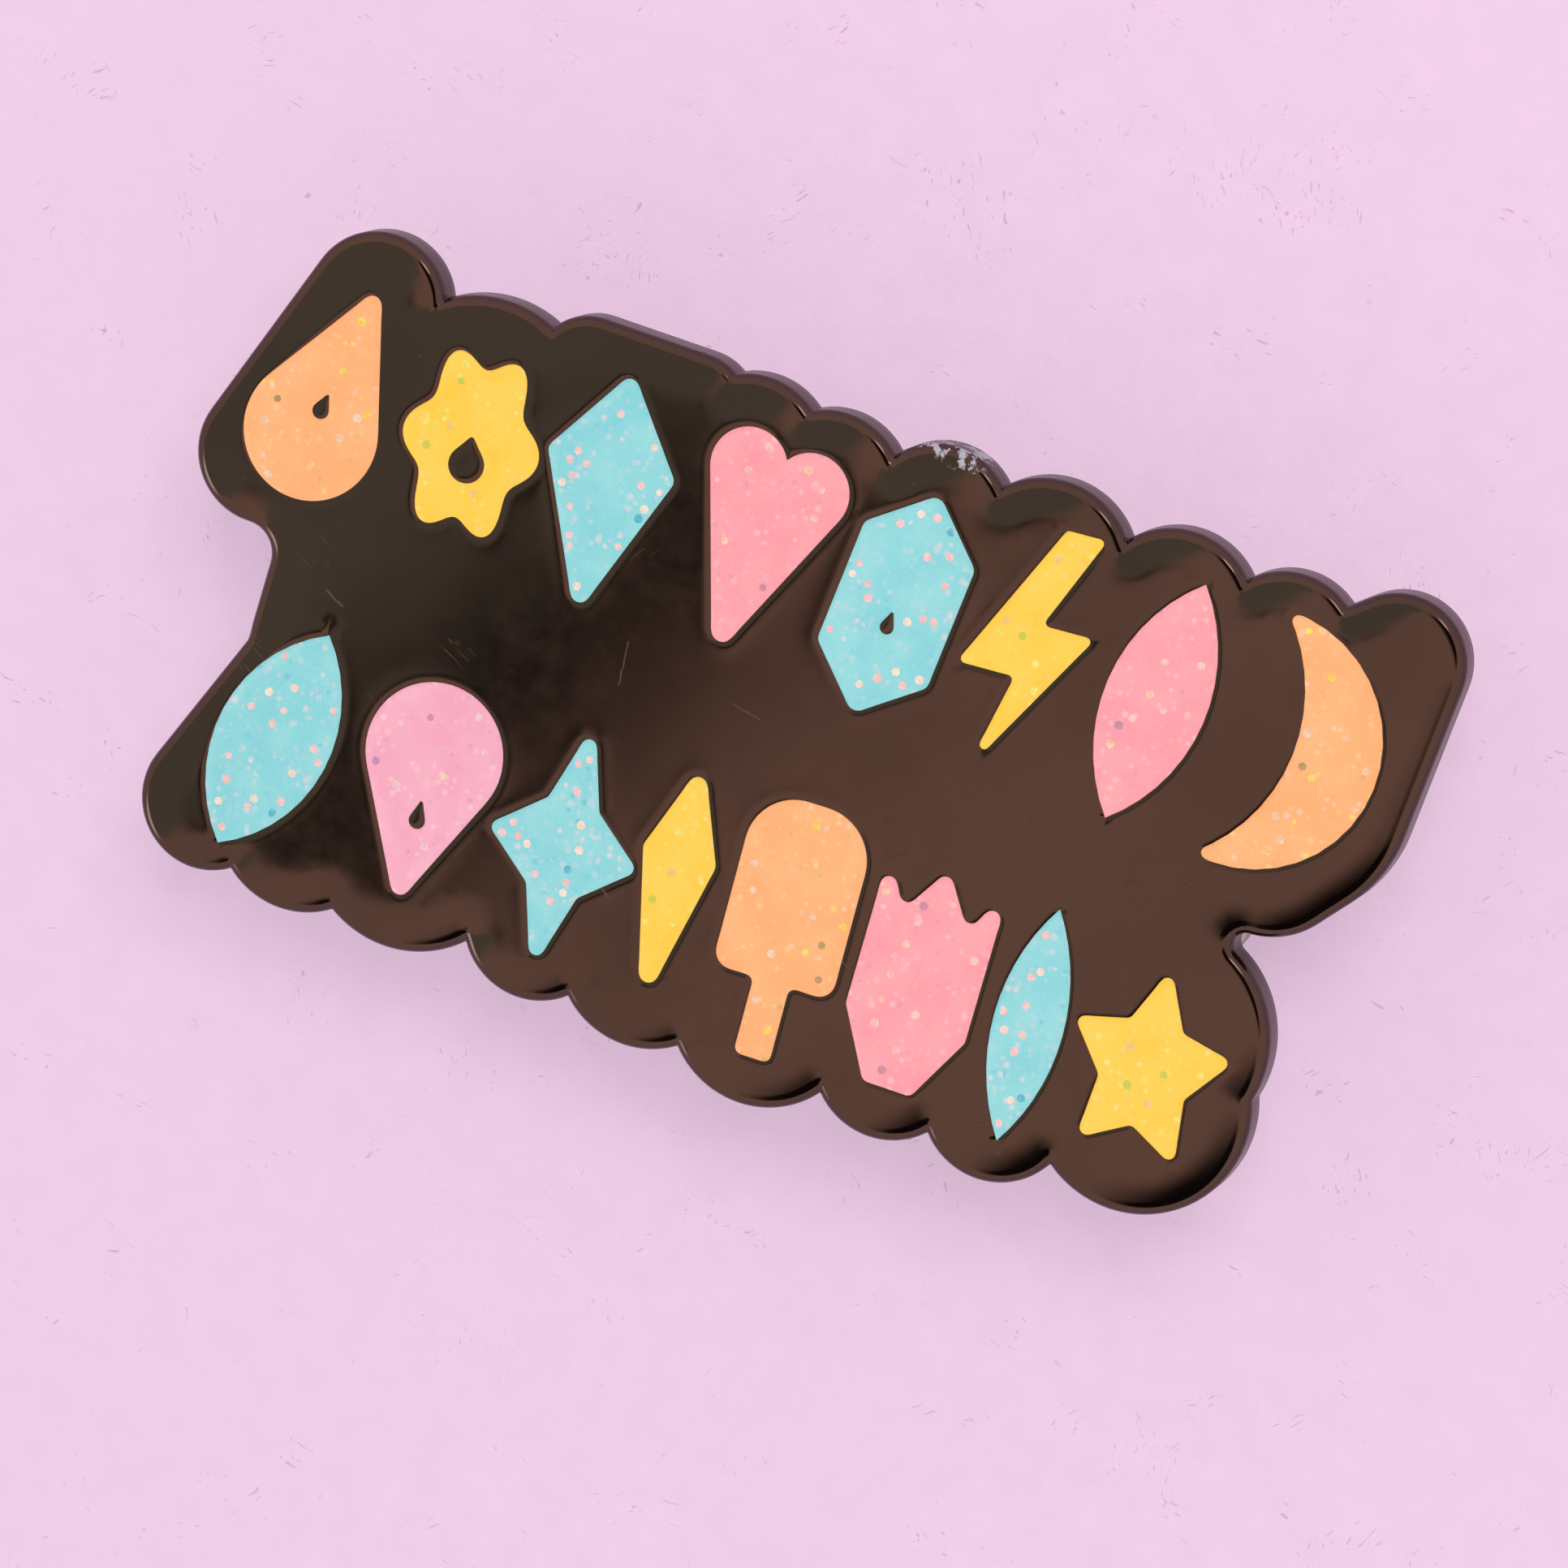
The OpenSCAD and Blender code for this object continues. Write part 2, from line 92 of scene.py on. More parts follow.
SHOULDER_R = 0.35            # rounded front edge of the plate
ROLL_DEPTH = 0.095           # how far the front sinks towards its edge, past the shoulder
ROLL_W = 1.6
LIP_R = 0.024                # rounded edge of each cell
DIP_DEPTH = 0.008            # how far the front sinks towards each cell
DIP_W = 0.3
WAVE = 0.004                 # unevenness of the polished front
LOWER_R = 0.07               # rounded lower edge of the plate
SHORTEST_EDGE = 0.02         # shorter edges of the CAD outlines are left out
OUTLINE_STEP, OUTLINE_CORNER = 0.15, 14      # step along the plate's outline, and its sharp turns
CELL_STEP, CELL_CORNER = 0.12, 48            # the same for the cells' outlines, in mm and degrees
NOTCH_REACH = 1.6            # how far from a notch the two lobes beside it set the shape
FIT_SLACK = 0.006            # how far the outline may stray from the circle or line beside a notch
SHOULDER_TURNS = (15, 30, 45, 60, 75, 90)    # rings of vertices on the shoulder, in degrees
FRONT_RINGS = (0.5, 0.7, 0.95, 1.25, 1.55)   # rings past the shoulder, measured from the edge
CELL_RINGS = (0.01, 0.02, LIP_R, 0.09, 0.17, 0.27, 0.4)
FRONT_GRID, BACK_GRID, SEAT_GRID = 0.42, 1.6, 0.7
ENAMEL_RINGS = (0.03, 0.07, 0.14, 0.25)
ENAMEL_GRID = 0.3
MENISCUS = 0.02              # how far the enamel climbs the cell's walls
SAG = 0.012
FLAKE_R = 0.16
FLAKE_T = 0.012
FLAKE_PROUD = 0.004          # how far a flake stands out of the enamel
FLAKE_TILT = 1.6             # degrees
MOST_TRIES = 4000            # dice throws for the flakes of one colour in one cell


# ---------- Camera, light and colours ----------

CAMERA_LEAN, CAMERA_AZIMUTH, CAMERA_ROLL = 17, 44, 17
CAMERA_AWAY = 320
VIEW_W = 53.857              # width of what the camera sees at the plate
FLOOR_HALF_W = 1000
AIM = (0.672, -1.487)        # from the middle of the plate, to the right and up in the view

PAPER = (0.847, 0.638, 0.815)
PAINTED_PAPER_GLOW = 0.55            # painted light: the share of the floor's brightness that the paper gives off itself, which weakens the pin's shadow on it
MIRRORED_GLOW_LOSS = 0.75    # the share of that painted glow that the metal doesn't mirror
PAINTED_PAPER_GLOW_TINT = (1.03, 0.967, 1.0)
KEY_AZIMUTH, KEY_ELEVATION = 62, 63
KEY_AWAY, KEY_SIZE, KEY_WATTS = 480, 180, 1.1
KEY_COLOUR = (1.0, 0.965, 0.93)
FILL = (1.0, 0.93, 1.0)
FILL_STRENGTH = 0.72
HORIZON = (0.62, 0.53, 0.60)
CEILING = (0.72, 0.53, 0.44)
# What the polished metal mirrors on that ceiling: a grey-green wall, its brown edge and the dark gap
# at that edge, two dark parts of the room and two lamps. Each has its middle and half size in the x
# and y of the direction, lean to the right in degrees, softness and colour.
MIRRORED_SHAPES = [
    ((-0.372, -0.120), (0.150, 0.50), 30, 0.06, (0.36, 0.385, 0.32)),
    ((-0.233, -0.196), (0.0128, 0.09), 30, 0.7, (0.26, 0.20, 0.17)),
    ((-0.2395, -0.197), (0.0088, 0.075), 30, 0.42, (0.006, 0.007, 0.007)),
    ((0.21, 0.20), (0.24, 0.26), 0, 0.25, (0.03, 0.025, 0.025)),
    ((0.12, -0.44), (0.28, 0.25), 0, 0.2, (0.02, 0.018, 0.018)),
    ((-0.62, -0.48), (0.10, 0.16), 0, 0.5, (2.6, 2.5, 2.5)),
    ((0.289, 0.544), (0.10, 0.10), 0, 0.35, (3.4, 2.9, 2.7)),
]
# Marks of use on the plate: start, end, width in mm
NICKS = [
    ((-16.4, -0.1), (-15.7, -0.45), 0.10),
    ((-5.55, 1.7), (-5.45, 0.2), 0.05),
    ((-9.4, 5.9), (-8.1, 5.6), 0.07),
    ((-9.2, 5.2), (-8.3, 5.0), 0.05),
    ((-4.2, -6.6), (-3.6, -7.0), 0.09),
    ((4.6, -6.2), (5.5, -6.6), 0.05),
    ((10.6, -10.3), (11.5, -10.0), 0.05),
    ((-1.4, 0.9), (-0.3, 0.7), 0.05),
    ((6.4, 0.3), (7.4, 0.9), 0.04),
]
RESIDUE = ((1.6, 11.95), (4.5, 11.75), 1.0)

# Glitter deep in the enamel: sRGB levels, share of the spots, strength
FLECKS = {
    "orange": [((190, 172, 115), 0.08, 0.6), ((255, 224, 120), 0.12, 0.7), ((255, 214, 190), 0.16, 0.6)],
    "yellow": [((206, 218, 96), 0.12, 0.6), ((255, 238, 140), 0.14, 0.8), ((248, 212, 150), 0.10, 0.5)],
    "blue": [((240, 214, 214), 0.36, 0.7), ((84, 190, 212), 0.06, 0.6), ((206, 212, 226), 0.14, 0.6)],
    "pink": [((200, 150, 175), 0.08, 0.6), ((255, 212, 180), 0.10, 0.6), ((255, 212, 212), 0.22, 0.6)],
    "lilac": [((198, 150, 190), 0.10, 0.6), ((255, 216, 180), 0.08, 0.6), ((255, 218, 222), 0.22, 0.6)],
}
# sRGB levels of the enamel, and of its lighter clouds
BODIES = {
    "orange": ((250, 168, 104), (255, 190, 130)),
    "yellow": ((250, 200, 50), (255, 215, 92)),
    "blue": ((118, 208, 214), (160, 224, 222)),
    "pink": ((248, 147, 160), (252, 175, 176)),
    "lilac": ((240, 160, 186), (246, 188, 200)),
}
# Flakes at the surface: (colour, deeper colour, how many to a square mm)
FLAKES = {
    "orange": [((255, 238, 120), (252, 212, 90), 0.14), ((255, 226, 200), (252, 204, 160), 0.18),
               ((176, 158, 105), (205, 165, 110), 0.05)],
    "yellow": [((255, 244, 140), (252, 228, 80), 0.16), ((205, 220, 92), (222, 216, 84), 0.09),
               ((252, 220, 160), (250, 208, 110), 0.12)],
    "blue": [((255, 224, 218), (250, 204, 202), 0.50), ((255, 246, 228), (250, 224, 205), 0.22),
             ((84, 190, 214), (110, 204, 216), 0.05)],
    "pink": [((255, 220, 208), (255, 192, 190), 0.18), ((196, 148, 172), (222, 154, 168), 0.06),
             ((255, 224, 190), (252, 196, 170), 0.08)],
    "lilac": [((255, 224, 222), (248, 198, 208), 0.16), ((190, 145, 188), (216, 156, 188), 0.07),
              ((255, 226, 190), (250, 204, 180), 0.06)],
}


# ---------- Outlines ----------

def flat_loops(node, height):
    """Closed loops of points round the node's flat faces at that height, the longest first."""
    bm = bmesh.new()
    bm.from_mesh(frame["nodes"][node].data)
    bmesh.ops.remove_doubles(bm, verts=bm.verts, dist=1e-8)
    bm.faces.index_update()
    flat = [f for f in bm.faces if all(abs(v.co.z / MM - height) < 1e-3 for v in f.verts)]
    numbers = {f.index for f in flat}
    after = {}
    for face in flat:
        for corner in face.loops:
            if not any(f.index in numbers for f in corner.edge.link_faces if f is not face):
                after[corner.vert] = corner.link_loop_next.vert
    loops = []
    while after:
        start = next(iter(after))
        loop, vert = [], start
        while vert in after:
            loop.append((vert.co.x / MM, vert.co.y / MM))
            vert = after.pop(vert)
        loop = np.array(loop)
        gap = np.linalg.norm(loop - np.roll(loop, 1, axis=0), axis=1)
        loops.append(loop[gap > SHORTEST_EDGE])
    bm.free()
    return sorted(loops, key=lambda loop: -np.ptp(loop[:, 0]))


def area(loop):
    x, y = loop[:, 0], loop[:, 1]
    return 0.5 * float(np.sum(x * np.roll(y, -1) - np.roll(x, -1) * y))


def split_long(loop, longest):
    """The loop with its long straight edges cut into short ones."""
    points = []
    for a, b in zip(loop, np.roll(loop, -1, axis=0)):
        cuts = max(1, math.ceil(float(np.linalg.norm(b - a)) / longest))
        points += [a + (b - a) * i / cuts for i in range(cuts)]
    return np.array(points)


def catmull(p0, p1, p2, p3, count):
    """Points from p1 up to p2 on the centripetal Catmull-Rom curve."""
    def knot(t, a, b):
        return t + max(float(np.linalg.norm(b - a)), 1e-9) ** 0.5
    t0 = 0.0
    t1 = knot(t0, p0, p1)
    t2 = knot(t1, p1, p2)
    t3 = knot(t2, p2, p3)
    points = []
    for i in range(count):
        t = t1 + (t2 - t1) * i / count
        a1 = p0 * (t1 - t) / (t1 - t0) + p1 * (t - t0) / (t1 - t0)
        a2 = p1 * (t2 - t) / (t2 - t1) + p2 * (t - t1) / (t2 - t1)
        a3 = p2 * (t3 - t) / (t3 - t2) + p3 * (t - t2) / (t3 - t2)
        b1 = a1 * (t2 - t) / (t2 - t0) + a2 * (t - t0) / (t2 - t0)
        b2 = a2 * (t3 - t) / (t3 - t1) + a3 * (t - t1) / (t3 - t1)
        points.append(b1 * (t2 - t) / (t2 - t1) + b2 * (t - t1) / (t2 - t1))
    return points


def smooth_loop(loop, step, sharp):
    """(points about step apart, which of them are corners): the loop, counterclockwise, with its chords
    turned into smooth curves between corners that turn by more than sharp degrees."""
    loop = split_long(loop if area(loop) > 0 else loop[::-1], 0.45)
    n = len(loop)
    ahead = np.roll(loop, -1, axis=0) - loop
    behind = loop - np.roll(loop, 1, axis=0)
    cross = behind[:, 0] * ahead[:, 1] - behind[:, 1] * ahead[:, 0]
    turn = np.degrees(np.arctan2(cross, np.sum(behind * ahead, axis=1)))
    corner = np.abs(turn) > sharp
    first = int(np.argmax(corner)) if corner.any() else 0
    fine, marks = [], []
    for k in range(n):
        i = (first + k) % n
        p0, p1, p2, p3 = (loop[(i + j) % n] for j in (-1, 0, 1, 2))
        if corner[i]:
            p0 = 2 * p1 - p2
        if corner[(i + 1) % n]:
            p3 = 2 * p2 - p1
        if corner[i] or k == 0:
            marks.append(len(fine))
        fine += catmull(p0, p1, p2, p3, 6)
    fine.append(fine[0])
    marks.append(len(fine) - 1)
    fine = np.array(fine)
    points, corners = [], []
    for a, b in zip(marks, marks[1:]):
        part = fine[a:b + 1]
        along = np.concatenate([[0], np.cumsum(np.linalg.norm(np.diff(part, axis=0), axis=1))])
        count = max(1, round(float(along[-1]) / step))
        for j in range(count):
            s = along[-1] * j / count
            points.append([np.interp(s, along, part[:, 0]), np.interp(s, along, part[:, 1])])
            corners.append(j == 0 and bool(corner.any()))
    return np.array(points), np.array(corners)


def inward(loop):
    """The inward direction at each point of a counterclockwise loop, long enough at a corner to keep a
    ring that is moved along it parallel to the loop."""
    ahead = np.roll(loop, -1, axis=0) - loop
    ahead /= np.linalg.norm(ahead, axis=1)[:, None]
    behind = np.roll(ahead, 1, axis=0)
    left_a = np.stack([-ahead[:, 1], ahead[:, 0]], axis=1)
    left_b = np.stack([-behind[:, 1], behind[:, 0]], axis=1)
    mean = left_a + left_b
    mean /= np.linalg.norm(mean, axis=1)[:, None]
    return mean / np.maximum(np.sum(mean * left_a, axis=1), 0.5)[:, None]


def distance(points, loops):
    """The distance from each point to the nearest edge of the loops."""
    best = np.full(len(points), np.inf)
    a = np.concatenate(loops)
    b = np.concatenate([np.roll(loop, -1, axis=0) for loop in loops])
    d = b - a
    length = np.maximum(np.sum(d * d, axis=1), 1e-12)
    for start in range(0, len(points), 2000):
        p = points[start:start + 2000, None, :]
        t = np.clip(np.sum((p - a) * d, axis=2) / length, 0, 1)
        gap = p - (a + t[..., None] * d)
        best[start:start + 2000] = np.sqrt(np.min(np.sum(gap * gap, axis=2), axis=1))
    return best


def inside(points, loops):
    """Which points have an odd number of the loops round them."""
    hits = np.zeros(len(points), int)
    for loop in loops:
        a, b = loop, np.roll(loop, -1, axis=0)
        for start in range(0, len(points), 4000):
            x = points[start:start + 4000, 0, None]
            y = points[start:start + 4000, 1, None]
            crosses = (a[:, 1] > y) != (b[:, 1] > y)
            rise = np.where(b[:, 1] == a[:, 1], 1e-12, b[:, 1] - a[:, 1])
            hits[start:start + 4000] += np.sum(
                crosses & (x < a[:, 0] + (y - a[:, 1]) * (b[:, 0] - a[:, 0]) / rise), axis=1)
    return hits % 2 == 1


# ---------- Notches between the plate's lobes ----------

class Side:
    """The circle or line that one stretch of the outline follows where it reaches a notch."""

    def __init__(self, notch, near, far):
        a, b = near - notch, far - notch
        cross = a[0] * b[1] - a[1] * b[0]
        self.notch = notch
        self.along = -a / np.linalg.norm(a)
        if abs(cross) < 1e-3 * float(np.linalg.norm(b)) ** 3:
            self.centre = None
            return
        aa, bb = float(a @ a), float(b @ b)
        offset = np.array([b[1] * aa - a[1] * bb, a[0] * bb - b[0] * aa]) / (2 * cross)
        self.centre = notch + offset
        self.r = float(np.linalg.norm(offset))

    def settle(self, inner):
        """inner is the direction into the plate at the notch."""
        if self.centre is None:
            normal = np.array([-self.along[1], self.along[0]])
            self.normal = normal if normal @ inner > 0 else -normal
        else:
            self.sign = 1.0 if (self.centre - self.notch) @ inner > 0 else -1.0

    def depth(self, points):
        """How far inside this side each point lies."""
        if self.centre is None:
            return (points - self.notch) @ self.normal
        return self.sign * (self.r - np.linalg.norm(points - self.centre, axis=-1))

    def beyond(self, s, offset):
        """The point that lies s past the notch along this side, and offset inside it."""
        if self.centre is None:
            return self.notch + self.along * s + self.normal * offset
        start = self.notch - self.centre
        turn = s / self.r
        if start[0] * self.along[1] - start[1] * self.along[0] < 0:
            turn = -turn
        spun = np.array([start[0] * math.cos(turn) - start[1] * math.sin(turn),
                         start[0] * math.sin(turn) + start[1] * math.cos(turn)])
        return self.centre + spun * (self.r - self.sign * offset) / self.r


def fit_side(loop, corners, i, way, inner):
    """The side that fits the longest stretch of the loop before (-1) or after (1) the notch at i."""
    n = len(loop)
    reach = next(k for k in range(1, n) if k == 10 or corners[(i + way * k) % n])
    while True:
        stretch = loop[[(i + way * k) % n for k in range(reach + 1)]]
        side = Side(stretch[0], stretch[reach // 2], stretch[reach])
        side.settle(inner)
        if reach <= 4 or np.max(np.abs(side.depth(stretch))) < FIT_SLACK:
            return side
        reach -= 1


def find_notches(loop, corners):
    """[(point, side before, side after)] of the outline's corners that point into the plate."""
    n = len(loop)
    inner = inward(loop)
    notches = []
    for i in np.nonzero(corners)[0]:
        before, after = loop[i] - loop[i - 1], loop[(i + 1) % n] - loop[i]
        if before[0] * after[1] - before[1] * after[0] >= 0:
            continue
        notches.append((loop[i], *(fit_side(loop, corners, i, way, inner[i]) for way in (-1, 1))))
    return notches


def edge_depth(points, outline, notches):
    """How far each point lies inside the plate's edge. Beside a notch each lobe keeps its own rounded
    edge, so that the two meet in a crease."""
    depth = distance(points, [outline])
    for notch, one, other in notches:
        away = np.linalg.norm(points - notch, axis=1)
        near = away < NOTCH_REACH
        crease = np.maximum(one.depth(points[near]), other.depth(points[near]))
        keep = np.clip((NOTCH_REACH - away[near]) / (0.4 * NOTCH_REACH), 0, 1)
        lower = np.minimum(depth[near], np.maximum(crease, 0))
        depth[near] += (lower - depth[near]) * keep * keep * (3 - 2 * keep)
    return depth


# ---------- Meshes ----------

class Cloud:
    """Points for a triangulation, none of them nearly on top of another."""

    def __init__(self, loops):
        self.points = [np.array(p) for loop in loops for p in loop]
        self.edges = []
        start = 0
        for loop in loops:
            self.edges += [(start + i, start + (i + 1) % len(loop)) for i in range(len(loop))]
            start += len(loop)
        self.fixed = start

    def add(self, points, apart):
        """Adds the points that are at least that far apart from every point so far, as they come."""
        if not len(points):
            return
        tree = KDTree(len(self.points))
        for i, p in enumerate(self.points):
            tree.insert((p[0], p[1], 0), i)
        tree.balance()
        for p in points:
            if tree.find((p[0], p[1], 0))[2] > apart:
                self.points.append(np.array(p))

    def chain(self, points):
        """Adds a line of edges that starts at a point of a loop."""
        last = min(range(self.fixed), key=lambda i: float(np.sum((self.points[i] - points[0]) ** 2)))
        for p in points[1:]:
            self.points.append(np.array(p))
            self.edges.append((last, len(self.points) - 1))
            last = len(self.points) - 1

    def triangles(self, loops):
        """(points, triangles between the loops); the loops' own points come first, in order."""
        verts, _, faces, origin, _, _ = geometry.delaunay_2d_cdt(
            [Vector((float(p[0]), float(p[1]))) for p in self.points], self.edges, [], 0, 1e-7)
        index = {}
        for new, old in enumerate(origin):
            for o in old:
                index[o] = new
        order = {index[i]: i for i in range(self.fixed)}
        spare = self.fixed
        for new in range(len(verts)):
            if new not in order:
                order[new] = spare
                spare += 1
        points = np.zeros((spare, 2))
        for new, at in order.items():
            points[at] = verts[new]
        faces = np.array([[order[v] for v in f] for f in faces])
        on_loop = np.all(faces < self.fixed, axis=1)
        middle = points[faces[on_loop]].mean(axis=1)
        keep = np.ones(len(faces), bool)
        keep[on_loop] = inside(middle, loops)
        return points, faces[keep]


def grid(loops, step, shift=0.0):
    low, high = loops[0].min(axis=0), loops[0].max(axis=0)
    rows = []
    for j, y in enumerate(np.arange(low[1] + shift, high[1], step * 0.866)):
        for x in np.arange(low[0] + shift + (j % 2) * step / 2, high[0], step):
            rows.append((x, y))
    points = np.array(rows)
    return points[inside(points, loops)]


class Solid:
    """Vertices and faces of one closed mesh, in mm."""

    def __init__(self):
        self.verts = []
        self.faces = []

    def add(self, places):
        """Adds vertices at those (x, y, z) places, and returns their numbers."""
        start = len(self.verts)
        self.verts += places
        return list(range(start, len(self.verts)))

    def row(self, points, height):
        """Adds a row of vertices at that height, or at those heights, and returns their numbers."""
        heights = np.broadcast_to(height, len(points))
        return self.add([(p[0], p[1], z) for p, z in zip(points, heights)])

    def wall(self, upper, lower):
        """Joins two closed rows of as many vertices, given as lists of numbers."""
        for i in range(len(upper)):
            j = (i + 1) % len(upper)
            self.faces.append((upper[i], upper[j], lower[j], lower[i]))

    def front(self, points, heights, triangles):
        """Adds a surface of triangles, and returns its vertices' numbers."""
        numbers = self.row(points, heights)
        self.faces += [tuple(face) for face in triangles]
        return numbers

    def cap(self, loops, rows, height, step=None):
        """Closes the area between flat loops, whose vertices are the rows."""
        cloud = Cloud(loops)
        if step:
            cloud.add(grid(loops, step), step / 3)
        points, triangles = cloud.triangles(loops)
        known = [v for row in rows for v in row]
        known += self.row(points[len(known):], height)
        self.faces += [tuple(known[v] for v in face) for face in triangles]

    def pocket(self, loops, edges, height, step=None):
        """Upright walls from the loops' vertices at the edges to a flat floor at that height."""
        floors = []
        for loop, edge in zip(loops, edges):
            floors.append(self.row(loop, height))
            self.wall(edge, floors[-1])
        self.cap(loops, floors, height, step)


def take(numbers, loops):
    """The vertices' numbers loop by loop, from a list that starts with those of the loops."""
    rows, at = [], 0
    for loop in loops:
        rows.append(numbers[at:at + len(loop)])
        at += len(loop)
    return rows


def shade(mesh, sharp):
    """Smooth shading, with hard edges where faces meet at more than that angle in degrees."""
    mesh.shade_smooth()
    mesh.set_sharp_from_angle(angle=math.radians(sharp))


def build(name, solid, body, material, replaces=(), sharp=30):
    """A piece from a solid whose vertices are in mm."""
    mesh = bpy.data.meshes.new(name)
    places = [tuple(float(c) * MM for c in v) for v in solid.verts]
    mesh.from_pydata(places, [], [tuple(map(int, f)) for f in solid.faces])
    bm = bmesh.new()
    bm.from_mesh(mesh)
    bmesh.ops.recalc_face_normals(bm, faces=bm.faces)
    bm.to_mesh(mesh)
    bm.free()
    shade(mesh, sharp)
    piece = bpy.data.objects.new(name, mesh)
    bpy.context.scene.collection.objects.link(piece)
    mesh.materials.append(material)
    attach(piece, body)
    if replaces:
        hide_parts(*replaces)
    return piece


# ---------- The plate ----------

def wobble(x, y, size, seed):
    """Smooth noise between about -1 and 1, with features about size mm across."""
    return noise.noise(Vector((x / size, y / size, seed)))


def quarter(depth, r):
    """How far a rounded edge of radius r lies below its top, at that depth inside the edge."""
    d = np.clip(r - depth, 0, r)
    return r - np.sqrt(np.maximum(r * r - d * d, 0))


def front_height(points, depth, from_edge, gap):
    """Height of the plate's front at points that lie gap from a cell, from_edge from the plate's edge,
    and depth inside the shoulder, which is creased at the notches."""
    roll = ROLL_DEPTH * np.clip(1 - from_edge / ROLL_W, 0, 1) ** 2
    dip = DIP_DEPTH * np.clip(1 - gap / DIP_W, 0, 1) ** 2
    wave = np.array([wobble(x, y, 6.5, 3.1) + 0.25 * wobble(x, y, 2.2, 8.7) for x, y in points])
    calm = np.clip(depth / 0.6, 0, 1) * np.clip(gap / 0.5, 0, 1)
    return (PLATE_T - quarter(depth, SHOULDER_R) - roll - quarter(gap, LIP_R) - dip
            - WAVE * (1 + wave) * calm)


def crease_point(one, other, offset):
    """Where the rings at that offset inside the two sides of a notch meet."""
    low, high = 0.0, NOTCH_REACH
    for _ in range(30):
        s = (low + high) / 2
        if other.depth(one.beyond(s, offset)) < offset:
            low = s
        else:
            high = s
    return one.beyond(low, offset)


def true_ring(ring, depths, offset, slack, loops):
    """The points of a ring that really lie offset deep, and between the loops."""
    return ring[(np.abs(depths - offset) < slack) & inside(ring, loops)]


def front_of_plate(outline, corners, cells):
    """(points, triangles, heights) of the plate's front, with the loops' own points first. cells are
    the cells' and islands' loops, each with the sign of the way from it into the metal."""
    notches = find_notches(outline, corners)
    loops = [outline] + [loop for loop, _ in cells]
    holes = loops[1:]
    cloud = Cloud(loops)
    shoulder = [SHOULDER_R * (1 - math.cos(math.radians(turn))) for turn in SHOULDER_TURNS]
    for notch, one, other in notches:
        cloud.chain([notch] + [crease_point(one, other, offset) for offset in shoulder])
    inner = inward(outline)
    past = np.arange(0.04, 1.2, 0.12)
    for offset in (*shoulder, *FRONT_RINGS):
        rings = [outline + inner * offset]
        for notch, one, other in notches:
            rings += [np.array([side.beyond(s, offset) for s in past]) for side in (one, other)]
        ring = np.concatenate(rings)
        ring = true_ring(ring, edge_depth(ring, outline, notches), offset, 0.002 + 0.015 * offset, loops)
        cloud.add(ring, min(0.8 * offset, 0.05 + 0.1 * offset))
    for offset in CELL_RINGS:
        ring = np.concatenate([loop + away * offset * inward(loop) for loop, away in cells])
        ring = true_ring(ring, distance(ring, holes), offset, 0.001 + 0.02 * offset, loops)
        cloud.add(ring, min(0.8 * offset, 0.02 + 0.2 * offset))
    cloud.add(grid(loops, FRONT_GRID), 0.15)
    points, faces = cloud.triangles(loops)
    heights = front_height(points, edge_depth(points, outline, notches), distance(points, [outline]),
                           distance(points, holes))
    return points, faces, heights


def circle(centre, r, steps):
    turns = np.arange(steps) * 2 * math.pi / steps
    return np.stack([centre[0] + r * np.cos(turns), centre[1] + r * np.sin(turns)], axis=1)


def make_plate(cells, material):
    """cells are the motifs' loops: the outer one, and the island's where there is one."""
    outline, corners = smooth_loop(flat_loops("backing_plate", 0)[0], OUTLINE_STEP, OUTLINE_CORNER)
    signed = [pair for loops in cells for pair in zip(loops, (-1, 1))]
    points, triangles, heights = front_of_plate(outline, corners, signed)
    solid = Solid()
    front = solid.front(points, heights, triangles)
    # Cells
    at = len(outline)
    for loops in cells:
        edges = take(front[at:], loops)
        solid.pocket(loops, edges, CELL_FLOOR)
        at += sum(len(loop) for loop in loops)
    # Edge, from the shoulder down to the rounded lower edge
    inner = inward(outline)
    upper = front[:len(outline)]
    rows = [(0, 0.95), (0, 0.5)]
    for a in (0, 0.52, 1.05, math.pi / 2):
        rows.append((LOWER_R * (1 - math.cos(a)), LOWER_R * (1 - math.sin(a))))
    for offset, height in rows:
        lower = solid.row(outline + inner * offset, height)
        solid.wall(upper, lower)
        upper = lower
    # Back, with the round seats of the posts
    rim = outline + inner * LOWER_R
    seats = [circle((side * POST_X, 0), SEAT_R, 72) for side in (-1, 1)]
    mouths = [solid.row(seat, 0) for seat in seats]
    solid.cap([rim] + seats, [upper] + mouths, 0, BACK_GRID)
    for seat, mouth in zip(seats, mouths):
        solid.pocket([seat], [mouth], SEAT_DEPTH, SEAT_GRID)
    build("plate", solid, "pin", material, ["backing_plate"])


# ---------- Enamel and its glitter ----------

def enamel_height(points, gap, seed):
    """Height of the enamel, which climbs the cell's walls and sinks a little towards its middle."""
    ripple = np.array([wobble(x, y, 1.6, seed) for x, y in points])
    climb = MENISCUS * np.exp(-gap / 0.06)
    return ENAMEL_TOP + climb - SAG * (1 - np.exp(-gap / 0.9)) * (1 + 0.5 * ripple)


def make_enamel(motif, loops, material, seed):
    cloud = Cloud(loops)
    for offset in ENAMEL_RINGS:
        ring = np.concatenate([loop + side * offset * inward(loop) for loop, side in zip(loops, (1, -1))])
        ring = true_ring(ring, distance(ring, loops), offset, 0.001 + 0.02 * offset, loops)
        cloud.add(ring, 0.03 + 0.1 * offset)
    cloud.add(grid(loops, ENAMEL_GRID, 0.1), 0.1)
    points, triangles = cloud.triangles(loops)
    solid = Solid()
    top = solid.front(points, enamel_height(points, distance(points, loops), seed), triangles)
    solid.pocket(loops, take(top, loops), CELL_FLOOR)
    build("fill_" + motif, solid, "pin", material, ["enamel_" + motif])


